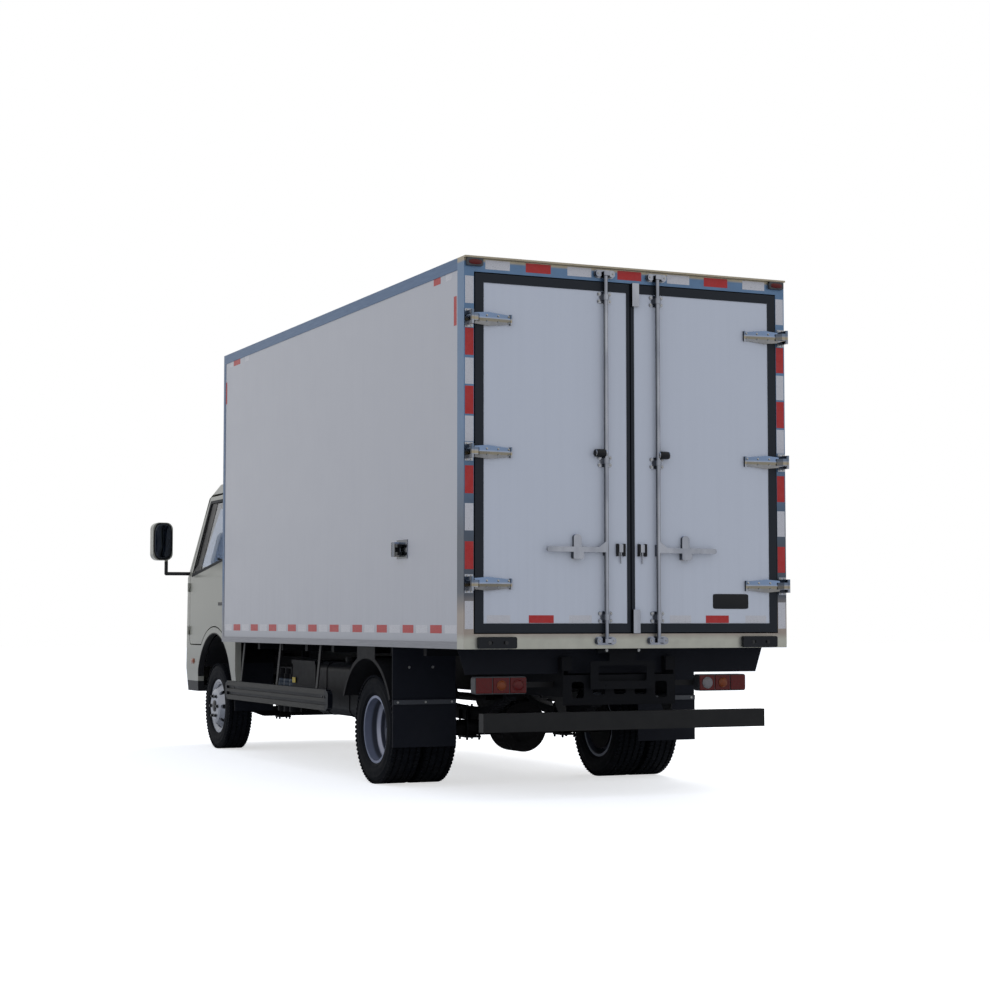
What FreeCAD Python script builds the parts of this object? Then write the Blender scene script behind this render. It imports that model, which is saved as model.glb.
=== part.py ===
import FreeCAD, Part
import math
import os

# A light refrigerated truck: insulated box body, cab over the engine, ladder frame,
# steered front wheels and twin rear wheels. Millimetres. +X is forward, +Y is the truck's left,
# +Z is up. The origin lies on the ground, on the centre plane, at the middle of the length.

V = FreeCAD.Vector
os.makedirs("parts", exist_ok=True)

# Whole truck; the cab carries the front axle, so the wheelbase and the whole length follow
rear_axle_from_box_rear = 1490.0
front_axle_from_cab_rear = 560.0
cab_gap = 70.0
cab_length = 1505.0
seat_gap = 0.3
overrun = 5.0
corner_share = 0.45

# Insulated box
box_length = 4480.0
box_width = 2000.0
box_height = 2100.0
box_bottom_z = 820.0
wall_thickness = 75.0
front_wall_thickness = 80.0
roof_thickness = 80.0
floor_thickness = 78.0

# Aluminium angles that cover the box's edges
rail_thickness = 3.0
top_rail_height = 62.0
bottom_rail_height = 36.0
corner_rail_width = 42.0
rail_return = 40.0

# Rear frame that carries the cargo doors
rear_frame_depth = 90.0
post_width = 55.0
header_height = 80.0
sill_height = 78.0
gutter_reach = 18.0
gutter_height = 10.0

# Cargo doors
door_frame_gap = 6.0
door_centre_gap = 8.0
door_face_thickness = 22.0
door_thickness = 80.0
plug_inset = 22.0
seal_width = 50.0
centre_seal_width = 20.0
seal_proud = 3.0

# Cargo door hinges
hinge_pin_back = 61.0
hinge_pin_inset = 20.0
hinge_barrel_radius = 10.0
hinge_pin_radius = 5.0
pin_clearance = 0.05
hinge_height = 76.0
hinge_base_height = 100.0
hinge_knuckle_height = 18.0
hinge_strap_length = 212.0
hinge_strap_start = 22.0
hinge_root_height = 60.0
hinge_root_depth = 38.0
hinge_bulge_height = 74.0
hinge_bulge_depth = 35.0
hinge_bulge_share = 0.38
hinge_tip_height = 48.0
hinge_tip_depth = 16.0
hinge_shoulder_share = 0.42
hinge_clip_length = 9.0
hinge_clip_lip = 5.0
hinge_arm_thickness = 12.0
hinge_base_thickness = 5.0
hinge_levels = (345.0, 1050.0, 1767.0)

# Lock rods and handles on the cargo doors
rod_radius = 12.0
rod_from_seam = 162.0
rod_stand_off = 22.0
rod_cover = 6.0
cam_width = 36.0
cam_height = 22.0
cam_nose = 8.0
guide_width = 84.0
guide_height = 64.0
guide_corner = 9.0
guide_body_width = 56.0
guide_ear_height = 24.0
saddle_height = 30.0
guide_levels = (168.0, 1022.0, 1928.0)
knob_level = 1066.0
knob_radius = 20.0
knob_length = 68.0
handle_level = 536.0
handle_length = 365.0
handle_height = 28.0
handle_thickness = 9.0
handle_gusset = 52.0
hasp_from_rod = 175.0
hasp_tab_width = 46.0
hasp_tab_height = 84.0
hasp_tab_depth = 20.0
hasp_case_width = 62.0
hasp_case_height = 44.0
latch_from_seam = 67.0
latch_plate_width = 52.0
latch_plate_height = 62.0
latch_corner = 6.0
latch_body_width = 24.0
latch_thickness = 16.0
latch_hook_radius = 3.0
latch_hook_length = 62.0
bolt_from_seam = 5.0
bolt_width = 42.0
bolt_height = 130.0
bolt_thickness = 22.0
bolt_levels = (145.0, 1955.0)
keeper_width = 126.0
keeper_height = 46.0
keeper_thickness = 4.0
keeper_ear_gap = 24.0
keeper_ear_width = 34.0
keeper_reach = 24.0
catch_length = 160.0
catch_height = 108.0
catch_jaw_length = 56.0
catch_jaw_height = 84.0
catch_jaw_depth = 40.0
catch_corner = 14.0
catch_groove_radius = 15.0
catch_from_rear = 890.0
catch_level = 556.0

# Lamps and buffers on the rear frame
buffer_length = 222.0
buffer_height = 62.0
buffer_thickness = 28.0
buffer_from_side = 75.0
buffer_corner = 10.0
buffer_hole_radius = 9.0
buffer_hole_depth = 16.0
buffer_hole_shares = (0.32, 0.68)
marker_width = 95.0
marker_height = 42.0
marker_thickness = 18.0
marker_from_side = 8.0
marker_from_top = 8.0

# Cooling unit on the front wall, above the cab
unit_width = 1240.0
unit_height = 470.0
unit_depth = 430.0
unit_top_drop = 60.0
unit_corner = 60.0
unit_fan_radius = 140.0
unit_fan_recess = 60.0
unit_slope = 70.0

# Ladder frame
frame_width = 700.0
frame_rail_height = 150.0
frame_rail_flange = 55.0
frame_rail_thickness = 6.0
frame_top_z = 700.0
frame_rear_inset = 143.0
frame_front_inset = 325.0
cab_pad_length = 62.0
cross_member_height = 110.0
cross_member_depth = 60.0
cross_member_shares = (0.22, 0.43, 0.62, 0.785, 0.965)
tail_plate_thickness = 8.0
tail_plate_height = 165.0
tail_plate_bottom_z = 505.0
tail_hole_width = 76.0
tail_hole_corner = 16.0
tail_hole_shares = (-0.372, -0.186, 0.0, 0.186, 0.372)
tail_hole_height_shares = (0.55, 0.34, 0.3, 0.34, 0.55)

# Box subframe
sill_width = 60.0
bearer_height = 50.0
bearer_width = 45.0
bearer_count = 8
bearer_from_rear = 215.0

# Tyres and wheels
tyre_radius = 322.0
tyre_width = 195.0
tyre_tread_width = 158.0
tyre_shoulder = 19.5
bead_radius = 196.0
rim_flange_radius = 206.0
rim_width = 156.0
rim_barrel_radius = 186.0
rim_well_radius = 166.0
rim_well_width = 60.0
rim_thickness = 8.0
rim_offset = 110.0
disc_face_radius = 104.0
disc_bend_radius = 128.0
disc_rise = 62.0
hand_hole_count = 8
hand_hole_radius = 17.0
hand_hole_circle = 146.0
hub_radius = 58.0
hub_length = 96.0
spindle_radius = 24.0
drum_radius = 152.0
drum_width = 74.0
drum_wall = 12.0
front_track_half = 760.0
rear_track_half = 745.0

# Front axle and knuckles
kingpin_y = 628.0
kingpin_radius = 14.0
kingpin_boss_radius = 34.0
kingpin_boss_height = 96.0
fork_thickness = 24.0
steer_plate_radius = 148.0
steer_plate_thickness = 8.0
axle_beam_height = 74.0
axle_beam_width = 62.0
axle_beam_drop = 46.0
axle_beam_web = 20.0
axle_beam_bend = 124.0
axle_beam_lap = 24.0

# Rear axle
rear_axle_radius = 48.0
differential_radius = 152.0
differential_width = 190.0
differential_bulge_radius = 136.0
rear_axle_plate_radius = 150.0
shaft_radius = 38.0
shaft_rear_z = 350.0
shaft_front_z = 500.0

# Leaf springs
spring_width = 66.0
spring_leaf = 11.0
front_spring_half = 480.0
rear_spring_half = 590.0
spring_eye_radius = 24.0
spring_y = 322.0
front_spring_leaves = 4
rear_spring_leaves = 6
spring_step_share = 0.75
hanger_width = 40.0
u_bolt_radius = 7.0
u_bolt_gap = 1.0
spring_plate_thickness = 12.0

# Engine, exhaust, tank and battery box
engine_length = 760.0
engine_width = 520.0
engine_height = 440.0
engine_bottom_z = 440.0
engine_foot_length = 120.0
engine_foot_height = 20.0
side_space_behind = 840.0
side_space_ahead = 910.0
tank_shares = (0.0, 0.42)
tank_height = 350.0
tank_depth = 380.0
tank_corner = 60.0
strap_width = 40.0
strap_thickness = 4.0
strap_shares = (0.2, 0.76)
filler_radius = 44.0
filler_height = 34.0
battery_shares = (0.53, 0.79)
battery_height = 260.0
battery_depth = 330.0
battery_lid = 26.0
battery_lid_lip = 8.0
filter_shares = (0.85, 0.92, 0.99)
filter_y = 620.0
filter_radius = 44.0
filter_bottom_z = 320.0
filter_height = 270.0
filter_head_height = 40.0
filter_neck_radius = 36.0
filter_plate_thickness = 10.0
muffler_radius = 105.0
muffler_shares = (0.06, 0.4)
exhaust_tail_share = 0.17
exhaust_lead_share = 0.34
exhaust_pipe_radius = 28.0
muffler_y = 520.0
muffler_z = 430.0

# Wheel guards
fender_radius = 434.0
fender_width = 440.0
fender_thickness = 4.0
fender_flange = 24.0
fender_half_angle = 64.0
fender_lug_width = 300.0
liner_radius = 452.0
liner_thickness = 5.0
liner_width = 330.0
liner_half_angle = 62.0
flap_thickness = 8.0
flap_width = 395.0
flap_bottom_z = 240.0
flap_joint_z = 474.0
flap_behind_axle = 440.0
flap_strip_height = 30.0
flap_strip_thickness = 4.0
front_flap_width = 300.0
front_flap_lap = 40.0
front_flap_bottom_z = 300.0

# Side guards
guard_behind = 725.0
guard_front_inset = 95.0
guard_bottom_z = 404.0
guard_height = 132.0
guard_thickness = 32.0
guard_y = 992.0
guard_groove = 22.0
guard_groove_depth = 14.0
guard_cap_length = 34.0
guard_cap_corner = 12.0
guard_hanger_width = 36.0
guard_hanger_thickness = 8.0
guard_hanger_set_in = 28.0
guard_hanger_bow = 14.0
guard_hanger_shares = (0.12, 0.5, 0.88)

# Underrun bar, rear valance, plate bracket and tail lamps
underrun_half_length = 873.0
underrun_bottom_z = 372.0
underrun_height = 100.0
underrun_depth = 60.0
underrun_wall = 4.0
underrun_from_rear = 35.0
underrun_bracket_y = 335.0
underrun_bracket_width = 60.0
underrun_bracket_reach = 160.0
valance_height = 142.0
valance_thickness = 4.0
valance_from_rear = 192.0
valance_taper = 46.0
bracket_width = 400.0
bracket_height = 154.0
bracket_side_bar = 50.0
bracket_top_bar = 24.0
bracket_foot_bar = 44.0
bracket_corner = 12.0
bracket_thickness = 6.0
bracket_from_rear = 100.0
bracket_drop = 74.0
bracket_neck_width = 165.0
bracket_head_width = 310.0
bracket_head_height = 28.0
plate_hole_spacing = 210.0
plate_hole_radius = 3.5
lamp_length = 305.0
lamp_height = 94.0
lamp_depth = 62.0
lamp_corner = 14.0
lamp_y = 695.0
lamp_bottom_z = 570.0
lamp_from_rear = 200.0
lamp_arm_height = 30.0

# Cab
cab_wall = 45.0
cab_floor_z = 930.0
cab_floor_thickness = 40.0
rear_opening_length = 140.0
footwell_from_engine = 100.0
footwell_floor_z = 750.0
cab_bottom_z = 420.0
cab_belt_z = 1338.0
cab_arch_radius = 470.0
cab_arch_rise = 80.0
cab_half_width = 880.0
cab_bow = 48.0
door_edge_gap = 9.0
door_bevel_share = 0.2
door_reach = 440.0
arch_reach = 290.0
glass_inset = 12.0
glass_thickness = 5.0
# height, set back from the nose, set in from the half width and corner radius of each level
cab_levels = (
    (420.0, 32.0, 14.0, 120.0),
    (600.0, 0.0, 0.0, 140.0),
    (1310.0, 12.0, 0.0, 150.0),
    (1930.0, 335.0, 80.0, 150.0),
    (2035.0, 440.0, 135.0, 170.0),
    (2100.0, 640.0, 260.0, 180.0),
)
cab_door_front_setback = 265.0
cab_door_top_setback = 525.0
cab_door_rear = 160.0
cab_door_top_z = 1950.0
cab_door_sill_z = 935.0
cab_door_sill_margin = 58.0
cab_door_corner = 45.0
side_glass_margin = 52.0
side_glass_front_z = 1328.0
side_glass_rear_z = 1455.0
cab_hinge_radius = 9.0
cab_hinge_height = 34.0
cab_hinge_out = 10.5
cab_hinge_levels = (860.0, 1200.0)
windscreen_bottom_z = 1375.0
windscreen_top_z = 1890.0
windscreen_reach = 925.0
windscreen_bottom_margin = 110.0
windscreen_top_margin = 190.0
windscreen_corner = 70.0
bumper_top_z = 780.0
bumper_setback = 495.0
headlamp_width = 260.0
headlamp_margin = 60.0
headlamp_bottom_z = 640.0
headlamp_top_z = 770.0
headlamp_depth = 60.0
headlamp_corner = 25.0
grille_margin = 140.0
grille_bottom_z = 500.0
grille_slot_height = 26.0
grille_bar_height = 22.0
grille_slot_count = 5

# Cab inside
seat_width = 480.0
seat_space = 220.0
seat_depth = 480.0
seat_cushion = 130.0
seat_cushion_corner = 43.0
seat_base_height = 60.0
seat_back_height = 640.0
seat_back_thickness = 110.0
seat_back_corner = 27.0
seat_back_lean = 90.0
seat_from_cab_rear = 170.0
seat_side_gap = 120.0
dash_depth = 330.0
dash_height = 300.0
dash_top_z = 1330.0
dash_corner = 60.0
dash_body_corner = 30.0
dash_leg_length = 165.0
dash_leg_half = 165.0
steering_wheel_radius = 200.0
steering_rim_radius = 14.0
steering_spoke_count = 3
steering_wheel_setback = 440.0
steering_wheel_z = 1310.0
steering_wheel_tilt = 30.0
steering_column_radius = 26.0

# Mirrors
mirror_head_setback = 227.0
mirror_head_out = 216.0
mirror_bottom_z = 1450.0
mirror_height = 300.0
mirror_width = 160.0
mirror_corner = 52.0
mirror_post_in = 40.0
mirror_depth = 90.0
mirror_arm_radius = 14.0
mirror_foot_setback = 222.0
mirror_foot_z = 1345.0
mirror_foot_length = 26.0

# Planes and lines that follow from the sizes above
sides = {"left": 1, "right": -1}
overall_length = hinge_barrel_radius + hinge_pin_back + box_length + cab_gap + cab_length
rear_x = -overall_length / 2 + hinge_pin_back + hinge_barrel_radius
box_front_x = rear_x + box_length
cab_rear_x = box_front_x + cab_gap
cab_nose_x = cab_rear_x + cab_length
rear_axle_x = rear_x + rear_axle_from_box_rear
front_axle_x = cab_rear_x + front_axle_from_cab_rear
half_box = box_width / 2
box_top_z = box_bottom_z + box_height
inner_half = half_box - wall_thickness
floor_top_z = box_bottom_z + floor_thickness
opening_half = half_box - post_width
opening_bottom_z = box_bottom_z + sill_height
opening_top_z = box_top_z - header_height
frame_rear_x = rear_x + frame_rear_inset
frame_front_x = cab_nose_x - frame_front_inset
frame_bottom_z = frame_top_z - frame_rail_height
frame_half = frame_width / 2
side_space_rear_x = rear_axle_x + side_space_behind
side_space_length = front_axle_x - side_space_ahead - side_space_rear_x
door_outer = opening_half - door_frame_gap
door_inner = door_centre_gap / 2
door_low_z = opening_bottom_z + door_frame_gap
door_high_z = opening_top_z - door_frame_gap
hinge_axis_x = rear_x - hinge_pin_back
cab_door_bottom_z = bumper_top_z + door_edge_gap
cab_door_front_x = cab_nose_x - cab_door_front_setback
cab_door_top_x = cab_nose_x - cab_door_top_setback
cab_door_rear_x = cab_rear_x + cab_door_rear
arch_z = tyre_radius + cab_arch_rise
footwell_x = front_axle_x + engine_length / 2 + footwell_from_engine
headlamp_outer_y = cab_half_width - headlamp_margin
headlamp_inner_y = headlamp_outer_y - headlamp_width


def block(x0, x1, y0, y1, z0, z1):
    low = V(min(x0, x1), min(y0, y1), min(z0, z1))
    return Part.makeBox(abs(x1 - x0), abs(y1 - y0), abs(z1 - z0), low)


def rod(start, end, radius):
    along = end.sub(start)
    return Part.makeCylinder(radius, along.Length, start, along)


def rod_y(x, y0, y1, z, radius):
    return rod(V(x, min(y0, y1), z), V(x, max(y0, y1), z), radius)


def rod_z(x, y, z0, z1, radius):
    return rod(V(x, y, z0), V(x, y, z1), radius)


def fused(pieces):
    pieces = list(pieces)
    if len(pieces) == 1:
        return pieces[0]
    return pieces[0].multiFuse(pieces[1:]).removeSplitter()


def together(pieces):
    return Part.makeCompound(list(pieces))


def outline(points, radius, place):
    # A closed wire through the points, each corner rounded; place turns (u, v) into a vector.
    corners = []
    count = len(points)
    for i in range(count):
        before, here, after = points[i - 1], points[i], points[(i + 1) % count]
        back = FreeCAD.Base.Vector2d(before[0] - here[0], before[1] - here[1])
        ahead = FreeCAD.Base.Vector2d(after[0] - here[0], after[1] - here[1])
        back_length, ahead_length = math.hypot(back.x, back.y), math.hypot(ahead.x, ahead.y)
        cosine = (back.x * ahead.x + back.y * ahead.y) / (back_length * ahead_length)
        half = math.acos(max(-1, min(1, cosine))) / 2
        cut = min(radius / math.tan(half), corner_share * min(back_length, ahead_length))
        bend = cut * math.tan(half)
        start = (here[0] + back.x * cut / back_length, here[1] + back.y * cut / back_length)
        end = (here[0] + ahead.x * cut / ahead_length, here[1] + ahead.y * cut / ahead_length)
        centre_u = (start[0] + end[0]) / 2 - here[0]
        centre_v = (start[1] + end[1]) / 2 - here[1]
        reach = math.hypot(centre_u, centre_v)
        depth = bend / math.sin(half) - bend
        middle = (here[0] + centre_u * depth / reach, here[1] + centre_v * depth / reach)
        corners.append((place(*start), place(*middle), place(*end)))
    edges = []
    for i in range(count):
        start, middle, end = corners[i]
        edges.append(Part.Arc(start, middle, end).toShape())
        following = corners[(i + 1) % count][0]
        edges.append(Part.LineSegment(end, following).toShape())
    return Part.Wire(edges)


def side_prism(points, radius, y0, y1):
    face = Part.Face(outline(points, radius, lambda x, z: V(x, min(y0, y1), z)))
    return face.extrude(V(0, abs(y1 - y0), 0))


def front_prism(points, radius, x0, x1):
    face = Part.Face(outline(points, radius, lambda y, z: V(min(x0, x1), y, z)))
    return face.extrude(V(abs(x1 - x0), 0, 0))


def flank_prism(points, y0, y1):
    corners = [V(x, min(y0, y1), z) for x, z in points]
    face = Part.Face(Part.makePolygon(corners + corners[:1]))
    return face.extrude(V(0, abs(y1 - y0), 0))


def plan_prism(points, z0, z1):
    corners = [V(x, y, min(z0, z1)) for x, y in points]
    face = Part.Face(Part.makePolygon(corners + corners[:1]))
    return face.extrude(V(0, 0, abs(z1 - z0)))


def section_prism(points, x0, x1):
    corners = [V(min(x0, x1), y, z) for y, z in points]
    face = Part.Face(Part.makePolygon(corners + corners[:1]))
    return face.extrude(V(abs(x1 - x0), 0, 0))


def turned(points, x, y, z, outward):
    # A ring turned about the Y axis through (x, y, z) from (radius, offset) points.
    corners = [V(x + r, y + outward * u, z) for r, u in points]
    face = Part.Face(Part.makePolygon(corners + corners[:1]))
    return face.revolve(V(x, y, z), V(0, 1, 0), 360)


def mirrored(shape):
    return shape.mirror(V(0, 0, 0), V(0, 1, 0))


def rectangle(u0, u1, v0, v1):
    return [(u0, v0), (u1, v0), (u1, v1), (u0, v1)]


def save(name, shape):
    shape.exportStep("parts/" + name + ".step")
    print(name, len(shape.Solids), "solids", round(shape.Volume / 1e9, 5), "m3", shape.isValid())


# The insulated box

def box_floor():
    return block(rear_x + rear_frame_depth, box_front_x - front_wall_thickness,
                 -inner_half, inner_half, box_bottom_z, floor_top_z)


def box_roof():
    return block(rear_x + rear_frame_depth, box_front_x - front_wall_thickness,
                 -inner_half, inner_half, box_top_z - roof_thickness, box_top_z)


def box_side_wall(side):
    return block(rear_x + rear_frame_depth, box_front_x, side * inner_half, side * half_box,
                 box_bottom_z, box_top_z)


def box_front_wall():
    return block(box_front_x - front_wall_thickness, box_front_x, -inner_half, inner_half,
                 box_bottom_z, box_top_z)


def box_edge_rails():
    x0 = rear_x + rear_frame_depth
    t = rail_thickness
    skin = block(x0, box_front_x + t, -half_box - t, half_box + t, box_bottom_z - t, box_top_z + t)
    inside = block(x0 - overrun, box_front_x, -half_box, half_box, box_bottom_z, box_top_z)
    side_window = block(x0 - overrun, box_front_x - corner_rail_width,
                        -half_box - overrun, half_box + overrun,
                        box_bottom_z + bottom_rail_height, box_top_z - top_rail_height)
    level_window = block(x0 - overrun, box_front_x - rail_return,
                         -half_box + rail_return, half_box - rail_return,
                         box_bottom_z - overrun, box_top_z + overrun)
    front_window = block(box_front_x - overrun, box_front_x + overrun,
                         -half_box + rail_return, half_box - rail_return,
                         box_bottom_z + bottom_rail_height, box_top_z - top_rail_height)
    return skin.cut(inside).cut(side_window).cut(level_window).cut(front_window)


def rear_frame():
    t = rail_thickness
    x1 = rear_x + rear_frame_depth
    ring = block(rear_x, x1, -half_box - t, half_box + t, box_bottom_z - t, box_top_z + t)
    opening = block(rear_x - overrun, x1 + overrun, -opening_half, opening_half,
                    opening_bottom_z, opening_top_z)
    gutter = block(rear_x - gutter_reach, rear_x, -half_box - t, half_box + t,
                   box_top_z + t - gutter_height, box_top_z + t)
    return ring.cut(opening).fuse(gutter).removeSplitter()


def hinge_axis_y(side):
    return side * (half_box - hinge_pin_inset)


def hinge_base(side, level):
    y = hinge_axis_y(side)
    middle = box_bottom_z + level
    z0, z1 = middle - hinge_height / 2, middle + hinge_height / 2
    plate = block(rear_x - hinge_base_thickness, rear_x, side * (opening_half + door_frame_gap),
                  side * half_box, middle - hinge_base_height / 2, middle + hinge_base_height / 2)
    pieces = [plate, rod_z(hinge_axis_x, y, z0, z1, hinge_pin_radius)]
    for low in (z0, z1 - hinge_knuckle_height):
        high = low + hinge_knuckle_height
        pieces.append(rod_z(hinge_axis_x, y, low, high, hinge_barrel_radius))
        pieces.append(block(hinge_axis_x, rear_x, y - side * hinge_arm_thickness / 2,
                            y + side * hinge_arm_thickness / 2, low, high))
    return fused(pieces)


def keeper_z(upper):
    if upper:
        return box_top_z - header_height / 2
    return box_bottom_z + sill_height / 2


def keeper(side, upper):
    # A plate with two ears; the cam of the lock rod stands between them.
    y, z = side * rod_from_seam, keeper_z(upper)
    half = keeper_height / 2
    pieces = [front_prism(rectangle(y - keeper_width / 2, y + keeper_width / 2, z - half, z + half),
                          half, rear_x - keeper_thickness, rear_x)]
    for end in (-1, 1):
        near = y + end * keeper_ear_gap
        low = half - keeper_thickness
        pieces.append(front_prism(rectangle(near, near + end * keeper_ear_width, z - low, z + low),
                                  low, rear_x - keeper_reach, rear_x))
    return fused(pieces)


def hold_back_catch(side):
    # The jaw takes the lock rod of the open door.
    x = rear_x + catch_from_rear
    z = box_bottom_z + catch_level
    face = side * half_box
    plate = block(x - catch_length / 2, x + catch_length / 2, face, face + side * hinge_base_thickness,
                  z - catch_height / 2, z + catch_height / 2)
    front = x + catch_length / 2
    jaw = side_prism(rectangle(front - catch_jaw_length, front, z - catch_jaw_height / 2,
                               z + catch_jaw_height / 2), catch_corner, face,
                     face + side * catch_jaw_depth)
    groove = rod_z(front - catch_jaw_length / 2, face + side * catch_jaw_depth,
                   z - catch_height, z + catch_height, catch_groove_radius)
    return plate.fuse(jaw).removeSplitter().cut(groove)


def frame_fittings():
    pieces = []
    for side in sides.values():
        for level in hinge_levels:
            pieces.append(hinge_base(side, level))
        pieces.append(keeper(side, True))
        pieces.append(keeper(side, False))
        pieces.append(hold_back_catch(side))
    return together(pieces)


def rubber_buffers():
    pieces = []
    for side in sides.values():
        outer = side * (half_box - buffer_from_side)
        inner = outer - side * buffer_length
        pad = front_prism(rectangle(outer, inner, box_bottom_z, box_bottom_z + buffer_height),
                          buffer_corner, rear_x - buffer_thickness, rear_x)
        for share in buffer_hole_shares:
            y = outer + share * (inner - outer)
            z = box_bottom_z + buffer_height / 2
            pad = pad.cut(rod(V(rear_x - buffer_thickness - overrun, y, z),
                              V(rear_x - buffer_thickness + buffer_hole_depth, y, z),
                              buffer_hole_radius))
        pieces.append(pad)
    return together(pieces)


# Cargo doors

def cargo_door(side):
    face = block(rear_x, rear_x + door_face_thickness,
                 side * (door_inner + centre_seal_width), side * (door_outer - seal_width),
                 door_low_z + seal_width, door_high_z - seal_width)
    plug = block(rear_x + door_face_thickness, rear_x + door_thickness,
                 side * (door_inner + plug_inset), side * (door_outer - plug_inset),
                 door_low_z + plug_inset, door_high_z - plug_inset)
    return face.fuse(plug).removeSplitter()


def cargo_door_seal(side):
    ring = block(rear_x - seal_proud, rear_x + door_face_thickness,
                 side * door_inner, side * door_outer, door_low_z, door_high_z)
    inside = block(rear_x - seal_proud - overrun, rear_x + door_face_thickness + overrun,
                   side * (door_inner + centre_seal_width), side * (door_outer - seal_width),
                   door_low_z + seal_width, door_high_z - seal_width)
    return ring.cut(inside)


def strap_section(y, middle, height, depth):
    # A gabled section: flat back, two shoulders and a ridge along the middle.
    shoulder = rear_x - depth * hinge_shoulder_share
    low, high = middle - height / 2, middle + height / 2
    corners = [V(rear_x, y, low), V(shoulder, y, low), V(rear_x - depth, y, middle),
               V(shoulder, y, high), V(rear_x, y, high)]
    return Part.makePolygon(corners + corners[:1])


def hinge_strap(side, level):
    y = hinge_axis_y(side)
    middle = box_bottom_z + level
    z0, z1 = middle - hinge_height / 2, middle + hinge_height / 2
    k0 = z0 + hinge_knuckle_height + seat_gap
    k1 = z1 - hinge_knuckle_height - seat_gap
    lift = rear_x - seal_proud - seat_gap
    start = y - side * (hinge_barrel_radius + hinge_strap_start)
    bulge = start - side * hinge_strap_length * hinge_bulge_share
    tip = start - side * hinge_strap_length
    strap = Part.makeLoft([strap_section(start, middle, hinge_root_height, hinge_root_depth),
                           strap_section(bulge, middle, hinge_bulge_height, hinge_bulge_depth),
                           strap_section(tip, middle, hinge_tip_height, hinge_tip_depth)], True, True)
    clip = block(rear_x - hinge_tip_depth, rear_x, tip, tip - side * hinge_clip_length,
                 middle - hinge_tip_height / 2 - hinge_clip_lip,
                 middle + hinge_tip_height / 2 + hinge_clip_lip)
    step = side * (door_outer - seal_width - seat_gap)
    over_seal = block(lift, rear_x + overrun, start + side * overrun, step, z0, z1)
    arm_back = hinge_axis_x - hinge_arm_thickness / 2
    arm_front = hinge_axis_x + hinge_arm_thickness / 2
    root_back = rear_x - hinge_root_depth + hinge_base_thickness
    arm = plan_prism([(arm_back, y), (arm_back, start), (root_back, start - side * hinge_strap_start),
                      (root_back + hinge_arm_thickness, start - side * hinge_strap_start),
                      (arm_front + hinge_arm_thickness, start), (arm_front, y)], k0, k1)
    barrel = rod_z(hinge_axis_x, y, k0, k1, hinge_barrel_radius)
    bore = rod_z(hinge_axis_x, y, z0, z1, hinge_pin_radius + pin_clearance)
    return fused([strap.cut(over_seal), clip, arm, barrel]).cut(bore)


def rod_guide(x, y, z):
    # A plate with four rounded ears on the door and a saddle over the rod.
    half_body, half_height = guide_body_width / 2, guide_height / 2
    plate = [front_prism(rectangle(y - half_body, y + half_body, z - half_height, z + half_height),
                         guide_corner, rear_x - rod_cover, rear_x)]
    for low in (z - half_height, z + half_height - guide_ear_height):
        plate.append(front_prism(rectangle(y - guide_width / 2, y + guide_width / 2, low,
                                           low + guide_ear_height), guide_ear_height / 2,
                                 rear_x - rod_cover, rear_x))
    low, high = z - saddle_height / 2, z + saddle_height / 2
    saddle = rod_z(x, y, low, high, rod_radius + rod_cover)
    foot = block(x, rear_x, y - rod_radius - rod_cover, y + rod_radius + rod_cover, low, high)
    return plate + [saddle, foot]


def handle(side, x, y, z):
    # The lever runs outward from the rod and lies in the hasp.
    back = x - rod_radius
    half = handle_height / 2
    lever = front_prism(rectangle(y, y + side * handle_length, z - half, z + half), half,
                        back, back + handle_thickness)
    gusset = front_prism([(y, z - half), (y + side * handle_gusset, z - half),
                          (y + side * handle_gusset, z + half), (y, z + handle_gusset)], rod_cover,
                         back, back + handle_thickness)
    hasp_y = y + side * hasp_from_rod
    tab = front_prism(rectangle(hasp_y - hasp_tab_width / 2, hasp_y + hasp_tab_width / 2, z,
                                z + hasp_tab_height), hasp_tab_width / 2,
                      rear_x - hasp_tab_depth, rear_x)
    case = front_prism(rectangle(hasp_y - hasp_case_width / 2, hasp_y + hasp_case_width / 2,
                                 z - half - hasp_case_height + rod_cover, z - half + rod_cover),
                       guide_corner, back, rear_x)
    web = block(back, rear_x, hasp_y - hasp_tab_width / 2, hasp_y + hasp_tab_width / 2,
                z - half, z + half)
    return [lever, gusset, tab, case, web]


def lock_gear(side):
    x = rear_x - rod_stand_off
    y = side * rod_from_seam
    pieces = [rod_z(x, y, keeper_z(False) - cam_height / 2, keeper_z(True) + cam_height / 2, rod_radius)]
    for upper in (False, True):
        z = keeper_z(upper)
        pieces.append(block(x - rod_radius - cam_nose, x + rod_radius, y - cam_width / 2,
                            y + cam_width / 2, z - cam_height / 2, z + cam_height / 2))
    for level in guide_levels:
        pieces += rod_guide(x, y, box_bottom_z + level)
    z = box_bottom_z + knob_level
    pieces.append(rod_y(x, y, y + side * knob_length, z, knob_radius))
    pieces += handle(side, x, y, box_bottom_z + handle_level)
    pieces.append(block(x, rear_x, y - rod_radius, y + rod_radius,
                        box_bottom_z + handle_level - guide_height / 2,
                        box_bottom_z + handle_level + guide_height / 2))
    return fused(pieces)


def latch(side):
    y, z = side * latch_from_seam, box_bottom_z + handle_level
    plate = front_prism(rectangle(y - latch_plate_width / 2, y + latch_plate_width / 2,
                                  z - latch_plate_height / 2, z + latch_plate_height / 2),
                        latch_corner, rear_x - keeper_thickness, rear_x)
    body = block(rear_x - latch_thickness, rear_x, y - latch_body_width / 2, y + latch_body_width / 2,
                 z - latch_body_width / 2, z + latch_plate_height / 2)
    hook = rod_z(rear_x - latch_thickness / 2, y, z - latch_body_width / 2 - latch_hook_length, z,
                 latch_hook_radius)
    return fused([plate, body, hook])


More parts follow.
